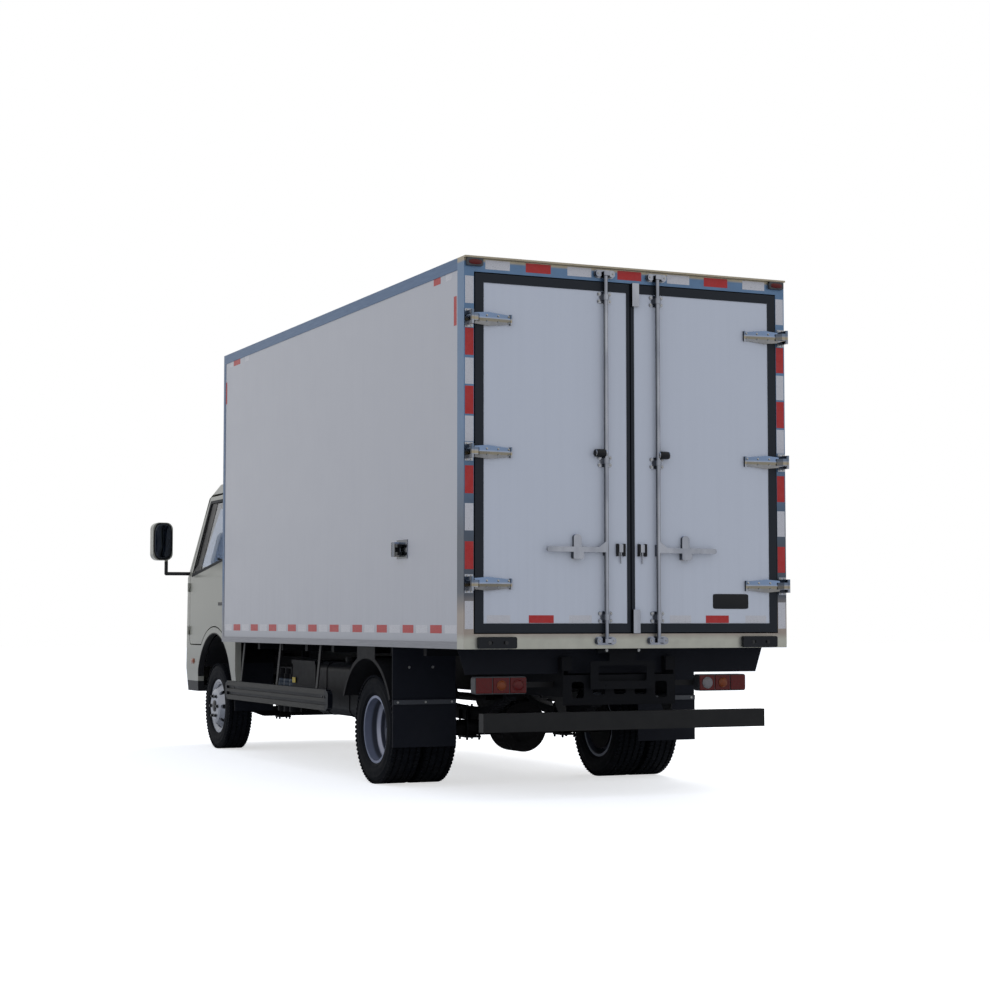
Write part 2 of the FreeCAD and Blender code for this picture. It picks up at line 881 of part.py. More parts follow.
def flush_bolt(side, level):
    # It lies over the seal at the seam and is screwed to the door's face.
    lift = rear_x - seal_proud - seat_gap
    z = box_bottom_z + level
    near, far = side * bolt_from_seam, side * (bolt_from_seam + bolt_width)
    case = block(rear_x - bolt_thickness, lift, near, far, z - bolt_height / 2, z + bolt_height / 2)
    edge = side * (door_inner + centre_seal_width + seat_gap)
    low = max(z - bolt_height / 2, door_low_z + seal_width + seat_gap)
    high = min(z + bolt_height / 2, door_high_z - seal_width - seat_gap)
    foot = block(lift, rear_x, edge, far, low, high)
    return case.fuse(foot).removeSplitter()


def door_fittings(side):
    pieces = [hinge_strap(side, level) for level in hinge_levels]
    pieces.append(lock_gear(side))
    pieces.append(latch(side))
    if side < 0:
        pieces += [flush_bolt(side, level) for level in bolt_levels]
    return together(pieces)


# Cooling unit

def cooling_unit():
    x0, x1 = box_front_x + rail_thickness, box_front_x + unit_depth
    z1 = box_top_z - unit_top_drop
    z0 = z1 - unit_height
    half = unit_width / 2
    shell = side_prism([(box_front_x, z0), (x1 - unit_slope, z0), (x1, z0 + unit_slope),
                        (x1, z1 - unit_slope), (x1 - unit_slope, z1), (box_front_x, z1)],
                       unit_corner, -half, half)
    keep = block(box_front_x, x1, -half, half, z0, z1)
    unit = shell.common(keep)
    for side in (-1, 1):
        y = side * half / 2
        z = (z0 + z1) / 2
        unit = unit.cut(rod(V(x1 - unit_fan_recess, y, z), V(x1 + overrun, y, z), unit_fan_radius))
    return unit


# Ladder frame

def frame_rail(side):
    outer = side * frame_half
    inner = outer - side * frame_rail_flange
    whole = block(frame_rear_x, frame_front_x, outer, inner, frame_bottom_z, frame_top_z)
    hollow = block(frame_rear_x - overrun, frame_front_x + overrun,
                   outer - side * frame_rail_thickness, inner - side * overrun,
                   frame_bottom_z + frame_rail_thickness, frame_top_z - frame_rail_thickness)
    front_pad = block(footwell_x, footwell_x + cab_pad_length, outer, inner, frame_top_z,
                      footwell_floor_z - cab_floor_thickness)
    rear_post = block(cab_rear_x + cab_wall / 2, cab_rear_x + cab_wall, outer, inner, frame_top_z,
                      cab_floor_z - cab_floor_thickness)
    return fused([whole.cut(hollow), front_pad, rear_post])


def cross_member(x):
    web = frame_half - frame_rail_thickness
    z = (frame_bottom_z + frame_top_z) / 2
    half = cross_member_height / 2
    whole = block(x, x + cross_member_depth, -web, web, z - half, z + half)
    hollow = block(x + frame_rail_thickness, x + cross_member_depth + overrun, -web - overrun,
                   web + overrun, z - half + frame_rail_thickness, z + half - frame_rail_thickness)
    return whole.cut(hollow)


def frame_rails():
    pieces = [frame_rail(side) for side in sides.values()]
    for share in cross_member_shares:
        pieces.append(cross_member(frame_rear_x + share * (frame_front_x - frame_rear_x)))
    pieces.append(tail_plate())
    return together(pieces)


def tail_plate():
    x0 = frame_rear_x - tail_plate_thickness
    z1 = tail_plate_bottom_z + tail_plate_height
    plate = block(x0, frame_rear_x, -frame_half, frame_half, tail_plate_bottom_z, z1)
    z = (tail_plate_bottom_z + z1) / 2
    for share, height_share in zip(tail_hole_shares, tail_hole_height_shares):
        y = share * frame_width
        half = tail_hole_width / 2
        rise = height_share * tail_plate_height / 2
        hole = front_prism(rectangle(y - half, y + half, z - rise, z + rise), tail_hole_corner,
                           x0 - overrun, frame_rear_x + overrun)
        plate = plate.cut(hole)
    return plate


def box_subframe():
    bearer_bottom_z = box_bottom_z - bearer_height
    pieces = []
    for side in sides.values():
        y = side * (frame_half - frame_rail_flange)
        pieces.append(block(frame_rear_x, box_front_x - front_wall_thickness, y, y + side * sill_width,
                            frame_top_z, bearer_bottom_z))
    span = box_length - bearer_from_rear - front_wall_thickness - bearer_width
    reach = half_box - rail_return - bearer_width
    for i in range(bearer_count):
        x = rear_x + bearer_from_rear + span * i / bearer_count
        pieces.append(block(x, x + bearer_width, -reach, reach, bearer_bottom_z, box_bottom_z))
    return together(pieces)


# Wheels

def tyre(x, y, z):
    half, tread = tyre_width / 2, tyre_tread_width / 2
    shoulder = tyre_radius - tyre_shoulder
    bulge = (tyre_radius + bead_radius) / 2
    bead = rim_width / 2 - rim_thickness
    edges = []

    def at(r, u):
        return V(x + r, y + u, z)

    bead_z = rim_flange_radius + seat_gap
    edges.append(Part.LineSegment(at(bead_z, -bead), at(bead_z, bead)).toShape())
    edges.append(Part.Arc(at(bead_z, bead), at(bulge, half), at(shoulder, tread + seal_proud)).toShape())
    edges.append(Part.Arc(at(shoulder, tread + seal_proud), at(tyre_radius - seal_proud, tread - seal_proud),
                          at(tyre_radius, tread - tyre_shoulder)).toShape())
    edges.append(Part.LineSegment(at(tyre_radius, tread - tyre_shoulder),
                                  at(tyre_radius, -tread + tyre_shoulder)).toShape())
    edges.append(Part.Arc(at(tyre_radius, -tread + tyre_shoulder),
                          at(tyre_radius - seal_proud, -tread + seal_proud),
                          at(shoulder, -tread - seal_proud)).toShape())
    edges.append(Part.Arc(at(shoulder, -tread - seal_proud), at(bulge, -half), at(bead_z, -bead)).toShape())
    return Part.Face(Part.Wire(edges)).revolve(V(x, y, z), V(0, 1, 0), 360)


def rim(x, face_y, z, outward):
    # outward is the side to which the barrel stands off the disc's mounting face.
    t = rim_thickness
    near = rim_offset - rim_width / 2
    far = rim_offset + rim_width / 2
    well = near + rim_well_width
    barrel = turned([(rim_flange_radius, near), (rim_flange_radius, near + t),
                     (rim_barrel_radius + t, near + t), (rim_well_radius + t, near + 3 * t),
                     (rim_well_radius + t, well), (rim_barrel_radius + t, well + 2 * t),
                     (rim_barrel_radius + t, far - t), (rim_flange_radius, far - t),
                     (rim_flange_radius, far), (rim_barrel_radius, far),
                     (rim_barrel_radius, well + 2 * t), (rim_well_radius, well),
                     (rim_well_radius, near + 2 * t), (rim_barrel_radius, near)], x, face_y, z, outward)
    disc = turned([(spindle_radius + pin_clearance, 0), (disc_face_radius, 0),
                   (disc_bend_radius, t), (rim_well_radius + t / 2, disc_rise),
                   (rim_well_radius + t / 2, disc_rise + t), (disc_bend_radius, 3 * t),
                   (disc_face_radius, 2 * t), (spindle_radius + pin_clearance, 2 * t)],
                  x, face_y, z, outward)
    wheel = barrel.fuse(disc)
    for i in range(hand_hole_count):
        angle = 2 * math.pi * i / hand_hole_count
        px = x + hand_hole_circle * math.cos(angle)
        pz = z + hand_hole_circle * math.sin(angle)
        wheel = wheel.cut(rod_y(px, face_y, face_y + outward * disc_rise, pz, hand_hole_radius))
    return wheel


def ring_y(x, y0, y1, z, outer, inner):
    return rod_y(x, y0, y1, z, outer).cut(rod_y(x, min(y0, y1) - overrun, max(y0, y1) + overrun,
                                                z, inner))


def front_rim(side):
    face_y = side * (front_track_half + rim_offset)
    wheel = rim(front_axle_x, face_y, tyre_radius, -side)
    hub_in = face_y - side * (hub_length + 2 * rim_thickness)
    hub = ring_y(front_axle_x, face_y, hub_in, tyre_radius, hub_radius,
                 spindle_radius + pin_clearance)
    drum_out = hub_in + side * drum_wall
    web = ring_y(front_axle_x, hub_in, drum_out, tyre_radius, drum_radius,
                 spindle_radius + pin_clearance)
    skirt = ring_y(front_axle_x, drum_out, drum_out - side * drum_width, tyre_radius, drum_radius,
                   drum_radius - drum_wall)
    return fused([wheel, hub, web, skirt])


def rear_rims(side):
    face_y = side * rear_track_half
    outer = rim(rear_axle_x, face_y, tyre_radius, side)
    inner = rim(rear_axle_x, face_y, tyre_radius, -side)
    hub_out = face_y + side * hub_length
    hub = ring_y(rear_axle_x, face_y - side * hub_length, hub_out, tyre_radius, hub_radius,
                 spindle_radius + pin_clearance)
    drum_out = face_y - side * hub_length + side * drum_wall
    web = ring_y(rear_axle_x, face_y - side * hub_length, drum_out, tyre_radius, drum_radius,
                 spindle_radius + pin_clearance)
    skirt = ring_y(rear_axle_x, drum_out, drum_out - side * drum_width, tyre_radius, drum_radius,
                   drum_radius - drum_wall)
    return fused([outer, inner, hub, web, skirt])


def front_tyre(side):
    return tyre(front_axle_x, side * front_track_half, tyre_radius)


def rear_tyres(side):
    return together([tyre(rear_axle_x, side * (rear_track_half + rim_offset), tyre_radius),
                     tyre(rear_axle_x, side * (rear_track_half - rim_offset), tyre_radius)])


# Axles, knuckles and springs

def knuckle(side):
    x, y, z = front_axle_x, side * kingpin_y, tyre_radius
    half = kingpin_boss_height / 2
    reach = side * kingpin_boss_radius
    pieces = [rod_z(x, y, z - half - fork_thickness, z + half + fork_thickness, kingpin_radius)]
    for low in (z + half + seat_gap, z - half - fork_thickness):
        high = low + fork_thickness - seat_gap
        pieces.append(rod_z(x, y, low, high, kingpin_boss_radius))
        pieces.append(block(x - kingpin_boss_radius, x + kingpin_boss_radius, y,
                            y + 2 * reach, low, high))
    back = y + reach + side * seat_gap
    plate_y = y + 2 * reach
    pieces.append(block(x - kingpin_boss_radius, x + kingpin_boss_radius, back + side * pin_clearance,
                        plate_y, z - half - fork_thickness, z + half + fork_thickness))
    pieces.append(rod_y(x, plate_y - side * steer_plate_thickness, plate_y, z, steer_plate_radius))
    tip = side * (front_track_half + rim_offset) + side * rim_thickness
    pieces.append(rod_y(x, plate_y - side * steer_plate_thickness, tip, z, spindle_radius))
    return fused(pieces)


def front_axle():
    x, z = front_axle_x, tyre_radius
    half = kingpin_boss_height / 2
    bosses = []
    for side in sides.values():
        y = side * kingpin_y
        boss = rod_z(x, y, z - half, z + half, kingpin_boss_radius)
        bore = rod_z(x, y, z - half - overrun, z + half + overrun, kingpin_radius + pin_clearance)
        bosses.append(boss.cut(bore))
    end = kingpin_y - axle_beam_lap
    bend = end - axle_beam_bend
    half_beam = axle_beam_height / 2
    low, high = z - half_beam, z + half_beam
    beam = section_prism([(-end, low), (-bend, low - axle_beam_drop), (bend, low - axle_beam_drop),
                          (end, low), (end, high), (bend, high - axle_beam_drop),
                          (-bend, high - axle_beam_drop), (-end, high)],
                         x - axle_beam_width / 2, x + axle_beam_width / 2)
    for face in (-1, 1):
        pocket = section_prism(rectangle(-bend, bend, low - axle_beam_drop + axle_beam_web,
                                         high - axle_beam_drop - axle_beam_web),
                               x + face * axle_beam_web / 2, x + face * axle_beam_width)
        beam = beam.cut(pocket)
    return fused([beam] + bosses)


def rear_axle():
    x, z = rear_axle_x, tyre_radius
    inner = rear_track_half - hub_length - drum_width
    pieces = [rod_y(x, -inner, inner, z, rear_axle_radius)]
    for side in sides.values():
        plate = side * inner
        pieces.append(rod_y(x, plate, plate - side * steer_plate_thickness, z, rear_axle_plate_radius))
        pieces.append(rod_y(x, plate, side * (rear_track_half + hub_length), z, spindle_radius))
    pieces.append(rod(V(x - differential_width / 2, 0, z), V(x + differential_width / 2, 0, z),
                      differential_radius))
    pieces.append(Part.makeSphere(differential_bulge_radius, V(x, 0, z)))
    return fused(pieces)


def propeller_shaft():
    start = V(rear_axle_x + differential_width / 2, 0, shaft_rear_z)
    end = V(front_axle_x - engine_length / 2 - overrun, 0, shaft_front_z)
    return rod(start, end, shaft_radius)


def leaf_spring(x, y, half, leaves, centre_z, eye_z, axle_half_width, axle_bottom_z):
    # Arched leaves, the longest on top, clamped to the axle by two bent bolts.
    y1 = y + spring_width
    pieces = []
    rise = eye_z - centre_z
    for i in range(leaves):
        reach = half * (1 - spring_step_share * i / leaves)
        top_end = centre_z + rise * (reach / half) ** 2 - i * spring_leaf
        top_mid = centre_z - i * spring_leaf
        left, right = x - reach, x + reach
        low_end, low_mid = top_end - spring_leaf, top_mid - spring_leaf
        edges = [Part.Arc(V(left, y, top_end), V(x, y, top_mid), V(right, y, top_end)).toShape(),
                 Part.LineSegment(V(right, y, top_end), V(right, y, low_end)).toShape(),
                 Part.Arc(V(right, y, low_end), V(x, y, low_mid), V(left, y, low_end)).toShape(),
                 Part.LineSegment(V(left, y, low_end), V(left, y, top_end)).toShape()]
        pieces.append(Part.Face(Part.Wire(edges)).extrude(V(0, spring_width, 0)))
    for end in (-1, 1):
        eye_x = x + end * half
        pieces.append(rod_y(eye_x, y, y1, eye_z, spring_eye_radius))
        pieces.append(block(eye_x - hanger_width / 2, eye_x + hanger_width / 2, y, y1, eye_z,
                            frame_bottom_z))
    leg = axle_half_width + u_bolt_radius + u_bolt_gap
    foot_z = axle_bottom_z - spring_plate_thickness
    head_z = centre_z + spring_plate_thickness
    lip = 2 * u_bolt_radius
    for low in (foot_z, centre_z - spring_leaf / 2):
        high = axle_bottom_z - seat_gap if low == foot_z else head_z
        pieces.append(block(x - leg - lip, x + leg + lip, y - lip, y1 + lip, low, high))
    for along in (-leg, leg):
        for across in (y - u_bolt_radius, y1 + u_bolt_radius):
            pieces.append(rod_z(x + along, across, foot_z - lip, head_z + lip, u_bolt_radius))
    return fused(pieces)


def leaf_springs():
    pieces = []
    beam_middle = tyre_radius - axle_beam_drop
    for side in sides.values():
        y = side * spring_y - spring_width / 2
        front_centre = beam_middle + axle_beam_height / 2 + front_spring_leaves * spring_leaf
        pieces.append(leaf_spring(front_axle_x, y, front_spring_half, front_spring_leaves, front_centre,
                                  frame_bottom_z - 2 * spring_eye_radius, axle_beam_width / 2,
                                  beam_middle - axle_beam_height / 2))
        rear_centre = tyre_radius + rear_axle_radius + rear_spring_leaves * spring_leaf
        pieces.append(leaf_spring(rear_axle_x, y, rear_spring_half, rear_spring_leaves, rear_centre,
                                  frame_bottom_z - spring_eye_radius, rear_axle_radius,
                                  tyre_radius - rear_axle_radius))
    return together(pieces)


# What hangs on the frame

def engine_block():
    x = front_axle_x
    body = block(x - engine_length / 2, x + engine_length / 2, -engine_width / 2, engine_width / 2,
                 engine_bottom_z, engine_bottom_z + engine_height)
    reach = frame_half - frame_rail_thickness
    feet = block(x - engine_foot_length / 2, x + engine_foot_length / 2, -reach, reach,
                 frame_top_z, frame_top_z + engine_foot_height)
    return fused([body, feet])


def side_place(share):
    # Tank, battery box, filters and exhaust share the space between the axles.
    return side_space_rear_x + share * side_space_length


def fuel_tank():
    x0, x1 = (side_place(share) for share in tank_shares)
    t = strap_thickness
    y0, y1 = frame_half + t, frame_half + t + tank_depth
    z1 = frame_top_z - t
    z0 = z1 - tank_height
    pieces = [front_prism(rectangle(y0, y1, z0, z1), tank_corner, x0, x1)]
    for share in strap_shares:
        x = x0 + share * (x1 - x0)
        pieces.append(front_prism(rectangle(y0 - t, y1 + t, z0 - t, z1 + t), tank_corner + t,
                                  x, x + strap_width))
    pieces.append(rod_z((x0 + x1) / 2, y1 - tank_corner - filler_radius, z1 - filler_height,
                        z1 + filler_height, filler_radius))
    return fused(pieces)


def battery_box():
    x0, x1 = (side_place(share) for share in battery_shares)
    y0, y1 = frame_half, frame_half + battery_depth
    z1 = frame_top_z - frame_rail_thickness
    lip = battery_lid_lip
    case = block(x0, x1, y0, y1, z1 - battery_height, z1)
    lid = block(x0 - lip, x1 + lip, y0, y1 + lip, z1 - battery_lid, z1)
    return case.fuse(lid).removeSplitter()


def air_filters():
    # Three canisters hang from one plate on the rail.
    plate_z = filter_bottom_z + filter_height + filter_head_height
    places = [side_place(share) for share in filter_shares]
    pieces = [block(places[0] - filter_radius, places[-1] + filter_radius, frame_half,
                    filter_y + filter_radius, plate_z, plate_z + filter_plate_thickness)]
    for x in places:
        pieces.append(rod_z(x, filter_y, filter_bottom_z, filter_bottom_z + filter_height, filter_radius))
        pieces.append(rod_z(x, filter_y, filter_bottom_z + filter_height, plate_z,
                            filter_neck_radius))
    return fused(pieces)


def exhaust():
    x0, x1 = (side_place(share) for share in muffler_shares)
    tail_x = x0 - exhaust_tail_share * side_space_length
    lead_x = x1 + exhaust_lead_share * side_space_length

    def pipe(start_x, end_x, radius):
        return rod(V(start_x, -muffler_y, muffler_z), V(end_x, -muffler_y, muffler_z), radius)

    middle = (x0 + x1) / 2
    hanger = block(middle, middle + hanger_width, -muffler_y, -frame_half, muffler_z,
                   frame_bottom_z + hanger_width)
    return fused([pipe(x0, x1, muffler_radius), pipe(tail_x, x0, exhaust_pipe_radius),
                  pipe(x1, lead_x, exhaust_pipe_radius), hanger])


# Guards

def arc_band(x, y0, y1, z, radius, thickness, half_angle):
    turn = math.radians(half_angle)
    arcs = []
    for r in (radius + thickness, radius):
        start = V(x - r * math.sin(turn), y0, z + r * math.cos(turn))
        end = V(x + r * math.sin(turn), y0, z + r * math.cos(turn))
        arcs.append((start, V(x, y0, z + r), end))
    outer, inner = arcs
    edges = [Part.Arc(*outer).toShape(), Part.LineSegment(outer[2], inner[2]).toShape(),
             Part.Arc(inner[2], inner[1], inner[0]).toShape(),
             Part.LineSegment(inner[0], outer[0]).toShape()]
    return Part.Face(Part.Wire(edges)).extrude(V(0, y1 - y0, 0))


def rear_fenders():
    # Each is an arched sheet with a flange along its outer edge and a lug up to the box.
    pieces = []
    for side in sides.values():
        y1 = side * (half_box - rail_thickness)
        y0 = y1 - side * fender_width
        band = arc_band(rear_axle_x, min(y0, y1), max(y0, y1), tyre_radius, fender_radius,
                        fender_thickness, fender_half_angle)
        lip = y1 - side * fender_thickness
        flange = arc_band(rear_axle_x, min(lip, y1), max(lip, y1), tyre_radius,
                          fender_radius - fender_flange / 2, fender_flange, fender_half_angle)
        top = tyre_radius + fender_radius + fender_thickness / 2
        lug = block(rear_axle_x - fender_lug_width / 2, rear_axle_x + fender_lug_width / 2,
                    y1, lip, top, box_bottom_z - rail_thickness)
        crown = arc_band(rear_axle_x, min(lip, y1), max(lip, y1), tyre_radius, fender_radius,
                         box_bottom_z - rail_thickness - tyre_radius - fender_radius,
                         fender_half_angle).common(
            block(rear_axle_x - fender_lug_width / 2, rear_axle_x + fender_lug_width / 2, y1, lip,
                  tyre_radius, box_bottom_z - rail_thickness))
        pieces.append(fused([band, flange, lug, crown]))
    return together(pieces)


def front_liners():
    pieces = []
    for side in sides.values():
        y1 = side * (cab_half_width - cab_wall)
        y0 = y1 - side * liner_width
        low, high = min(y0, y1), max(y0, y1)
        band = arc_band(front_axle_x, low, high, arch_z, liner_radius, liner_thickness,
                        liner_half_angle)
        lug = block(front_axle_x - hanger_width, front_axle_x + hanger_width,
                    low + hanger_width, high - hanger_width, arch_z + liner_radius + rail_thickness,
                    cab_floor_z - cab_floor_thickness)
        pieces.append(fused([band, lug]))
    return together(pieces)


def rear_flap(side):
    # A splash panel under the box, a rubber flap below it and the strip that clamps it.
    x = rear_axle_x - flap_behind_axle
    y1 = side * (half_box - rail_thickness)
    y0 = y1 - side * flap_width
    top = flap_joint_z + hanger_width
    panel = block(x, x + flap_thickness, y0, y1, flap_joint_z, box_bottom_z - rail_thickness)
    flap = block(x - flap_thickness, x, y0, y1, flap_bottom_z, top)
    strip = block(x - flap_thickness - flap_strip_thickness, x - flap_thickness, y0, y1,
                  top - flap_strip_height, top)
    return [panel, flap.fuse(strip).removeSplitter()]


def front_flap(side):
    turn = math.radians(liner_half_angle)
    x = front_axle_x - (liner_radius + liner_thickness) * math.sin(turn) - flap_thickness
    y1 = side * (cab_half_width - cab_wall)
    return block(x, x + flap_thickness, y1, y1 - side * front_flap_width, front_flap_bottom_z,
                 arch_z + liner_radius * math.cos(turn) + front_flap_lap)


def mud_flaps():
    pieces = []
    for side in sides.values():
        pieces += rear_flap(side)
        pieces.append(front_flap(side))
    return together(pieces)


def side_guard(side):
    # A grooved rail with closed ends, hung from the box by three bowed straps.
    x0 = rear_axle_x + guard_behind
    x1 = box_front_x - guard_front_inset
    z0, z1 = guard_bottom_z, guard_bottom_z + guard_height
    middle = (z0 + z1) / 2
    y1 = side * guard_y
    y0 = y1 - side * guard_thickness
    bar = block(x0, x1, y0, y1, z0, z1)
    for edge in (-1, 1):
        centre = middle + edge * guard_groove
        bar = bar.cut(block(x0 - overrun, x1 + overrun, y1 - side * guard_groove_depth,
                            y1 + side * overrun, centre - guard_groove / 2,
                            centre + guard_groove / 2))
    pieces = [bar]
    for end_x, outward in ((x0, -1), (x1, 1)):
        pieces.append(side_prism([(end_x, z0), (end_x + outward * guard_cap_length, z0 + guard_groove),
                                  (end_x + outward * guard_cap_length, z1 - guard_groove),
                                  (end_x, z1)], guard_cap_corner, y0, y1))
    t = guard_hanger_thickness
    top = box_bottom_z
    for share in guard_hanger_shares:
        x = x0 + share * (x1 - x0)
        line = [(y0 - side * guard_hanger_set_in, top), (y0 - side * guard_hanger_bow, (top + z1) / 2),
                (y0, z1), (y0, middle)]
        back = [(y - side * t, z) for y, z in reversed(line)]
        pieces.append(section_prism(line + back, x, x + guard_hanger_width))
    return fused(pieces)


def side_guards():
    return together([side_guard(side) for side in sides.values()])


def underrun_bar():
    x0 = rear_x + underrun_from_rear
    x1 = x0 + underrun_depth
    z0, z1 = underrun_bottom_z, underrun_bottom_z + underrun_height
    half = underrun_half_length
    t = underrun_wall
    bar = block(x0, x1, -half, half, z0, z1)
    channel = block(x0 + t, x1 + overrun, -half + t, half - t, z0 + t, z1 - t)
    pieces = [bar.cut(channel)]
    for side in sides.values():
        y = side * underrun_bracket_y
        foot = x1 + underrun_bracket_width
        leg = flank_prism([(x0 + t, z0 + t / 2), (foot, z0 + t / 2),
                           (frame_rear_x + underrun_bracket_reach, frame_bottom_z),
                           (frame_rear_x, frame_bottom_z), (frame_rear_x, z1), (x1, z1)],
                          y, y - side * frame_rail_thickness)
        pieces.append(leg)
    return fused(pieces)


def rear_valance():
    x0 = rear_x + valance_from_rear
    z1 = box_bottom_z
    z0 = z1 - valance_height
    x1 = x0 + valance_thickness
    top = half_box - rail_return - rail_thickness
    low = top - valance_taper
    sheet = section_prism([(-low, z0), (low, z0), (top, z1), (-top, z1)], x0, x1)
    sill_outer = frame_half - frame_rail_flange + sill_width
    for side in sides.values():
        notch = block(x0 - overrun, x1 + overrun, side * (frame_half - frame_rail_flange - seat_gap),
                      side * (sill_outer + seat_gap), z0 - overrun, z1 - bearer_height + seat_gap)
        sheet = sheet.cut(notch)
    return sheet


def plate_bracket():
    x0 = rear_x + bracket_from_rear
    x1 = x0 + bracket_thickness
    z1 = box_bottom_z - bracket_drop
    z0 = z1 - bracket_height
    half = bracket_width / 2
    plate = front_prism(rectangle(-half, half, z0, z1), bracket_corner, x0, x1)
    window = front_prism(rectangle(-half + bracket_side_bar, half - bracket_side_bar,
                                   z0 + bracket_foot_bar, z1 - bracket_top_bar), bracket_corner,
                         x0 - overrun, x1 + overrun)
    neck = block(x0, x1, -bracket_neck_width / 2, bracket_neck_width / 2, z1 - bracket_thickness,
                 box_bottom_z)
    head = block(x0, x1, -bracket_head_width / 2, bracket_head_width / 2,
                 box_bottom_z - bracket_head_height, box_bottom_z)
    plate = fused([plate.cut(window), neck, head])
    for side in sides.values():
        y = side * plate_hole_spacing / 2
        z = z0 + bracket_foot_bar / 2
        plate = plate.cut(rod(V(x0 - overrun, y, z), V(x1 + overrun, y, z), plate_hole_radius))
    return plate


def rear_lamps():
    pieces = []
    x0 = rear_x + lamp_from_rear
    for side in sides.values():
        outer, inner = lamp_y + lamp_length / 2, lamp_y - lamp_length / 2
        pieces.append(front_prism(rectangle(side * inner, side * outer, lamp_bottom_z,
                                            lamp_bottom_z + lamp_height), lamp_corner,
                                  x0, x0 + lamp_depth))
        m0 = side * (half_box - marker_from_side)
        z1 = box_top_z - marker_from_top
        pieces.append(front_prism(rectangle(m0, m0 - side * marker_width, z1 - marker_height, z1),
                                  marker_from_side, rear_x - marker_thickness, rear_x))
    return together(pieces)


def lamp_brackets():
    pieces = []
    x0 = rear_x + lamp_from_rear + lamp_depth
    for side in sides.values():
        z = lamp_bottom_z + lamp_height / 2
        pieces.append(block(x0, x0 + bracket_thickness, side * frame_half, side * lamp_y,
                            z - lamp_arm_height / 2, z + lamp_arm_height / 2))
    return together(pieces)


# Cab

def cab_outline(level, inset):
    z, setback, set_in, corner = level
    f = cab_nose_x - setback - inset
    r = cab_rear_x + inset
    w = cab_half_width - set_in - inset
    c = max(corner - inset, cab_bow)
    side_end = f - cab_bow - c
    diagonal = c * math.sqrt(0.5)
    p = {
        "rear right": V(r, -w, z), "front right": V(side_end, -w, z),
        "right bend": V(side_end + diagonal, -w + c - diagonal, z),
        "right end": V(f - cab_bow, -w + c, z), "nose": V(f, 0, z),
        "left end": V(f - cab_bow, w - c, z),
        "left bend": V(side_end + diagonal, w - c + diagonal, z),
        "front left": V(side_end, w, z), "rear left": V(r, w, z),
    }
    return Part.Wire([
        Part.LineSegment(p["rear right"], p["front right"]).toShape(),
        Part.Arc(p["front right"], p["right bend"], p["right end"]).toShape(),
        Part.Arc(p["right end"], p["nose"], p["left end"]).toShape(),
        Part.Arc(p["left end"], p["left bend"], p["front left"]).toShape(),
        Part.LineSegment(p["front left"], p["rear left"]).toShape(),
        Part.LineSegment(p["rear left"], p["rear right"]).toShape(),
    ])


def cab_form(inset):
    levels = [list(level) for level in cab_levels]
    levels[0][0] += inset
    levels[-1][0] -= inset
    return Part.makeLoft([cab_outline(level, inset) for level in levels], True, True)


def door_form(side, grow):
    # The space of the door. Its rear edge is bevelled, so that the door swings clear.
    x0, x1 = cab_door_front_x + grow, cab_door_rear_x - grow
    top_x = cab_door_top_x + grow
    sill = cab_door_sill_z - cab_door_sill_margin - grow
    far = cab_half_width + cab_wall
    points = [(x0, cab_door_bottom_z - grow), (x0, cab_belt_z), (top_x, cab_door_top_z + grow),
              (x1, cab_door_top_z + grow), (x1, sill), (front_axle_x, sill),
              (front_axle_x, cab_door_bottom_z - grow)]
    form = side_prism(points, cab_door_corner, side * door_reach, side * far)
    arch = rod_y(front_axle_x, side * arch_reach, side * (far + cab_wall), arch_z,
                 cab_arch_radius + cab_door_sill_margin - grow)
    near = arch_reach
    bevel = plan_prism([(cab_rear_x - cab_wall, side * far), (x1, side * far),
                        (x1 + door_bevel_share * (far - near), side * near),
                        (cab_rear_x - cab_wall, side * near)], 0, box_top_z)
    return form.cut(arch).cut(bevel)


def side_window(side):
    m = side_glass_margin
    x1, top = cab_door_rear_x + m, cab_door_top_z - m
    points = [(cab_door_front_x - m, side_glass_front_z), (cab_door_top_x - m, top), (x1, top),
              (x1, side_glass_rear_z)]
    return side_prism(points, cab_door_corner, side * door_reach, side * (cab_half_width + cab_wall))


def screen_window():
    bottom = cab_half_width - windscreen_bottom_margin
    top = cab_half_width - windscreen_top_margin
    return front_prism([(-bottom, windscreen_bottom_z), (bottom, windscreen_bottom_z),
                        (top, windscreen_top_z), (-top, windscreen_top_z)],
                       windscreen_corner, cab_nose_x - windscreen_reach, cab_nose_x + overrun)


def wheel_arch_cut():
    return rod_y(front_axle_x, -cab_half_width - overrun, cab_half_width + overrun, arch_z,
                 cab_arch_radius)


def cab_blank():
    # The hollow cab: skin, floor and the lower floor of the footwell.
    outer = cab_form(0)
    inner = cab_form(cab_wall)
    x0, x1 = cab_rear_x - overrun, cab_nose_x + overrun
    half = cab_half_width
    inner_half_width = cab_half_width - cab_wall
    low_z = cab_floor_z - cab_floor_thickness
    low_well_z = footwell_floor_z - cab_floor_thickness
    above = block(x0, x1, -half, half, cab_floor_z, box_top_z)
    well = block(footwell_x, x1, -half, half, footwell_floor_z, box_top_z)
    below = block(x0, footwell_x - cab_floor_thickness, -half, half, 0, low_z)
    below_well = block(x0, x1, -half, half, 0, low_well_z)
    rear_opening = block(x0, cab_rear_x + rear_opening_length, -inner_half_width, inner_half_width,
                         0, low_z)
    front_opening = block(cab_nose_x - bumper_setback, x1, -inner_half_width, inner_half_width,
                          0, cab_bottom_z + cab_wall + overrun).common(inner)
    hollow = inner.common(above.fuse(well)).fuse(inner.common(below.fuse(below_well)))
    return outer.cut(hollow).cut(wheel_arch_cut()).cut(rear_opening).cut(front_opening)


def bumper_region():
    return block(cab_nose_x - bumper_setback, cab_nose_x + overrun, -cab_half_width - overrun,
                 cab_half_width + overrun, 0, bumper_top_z)


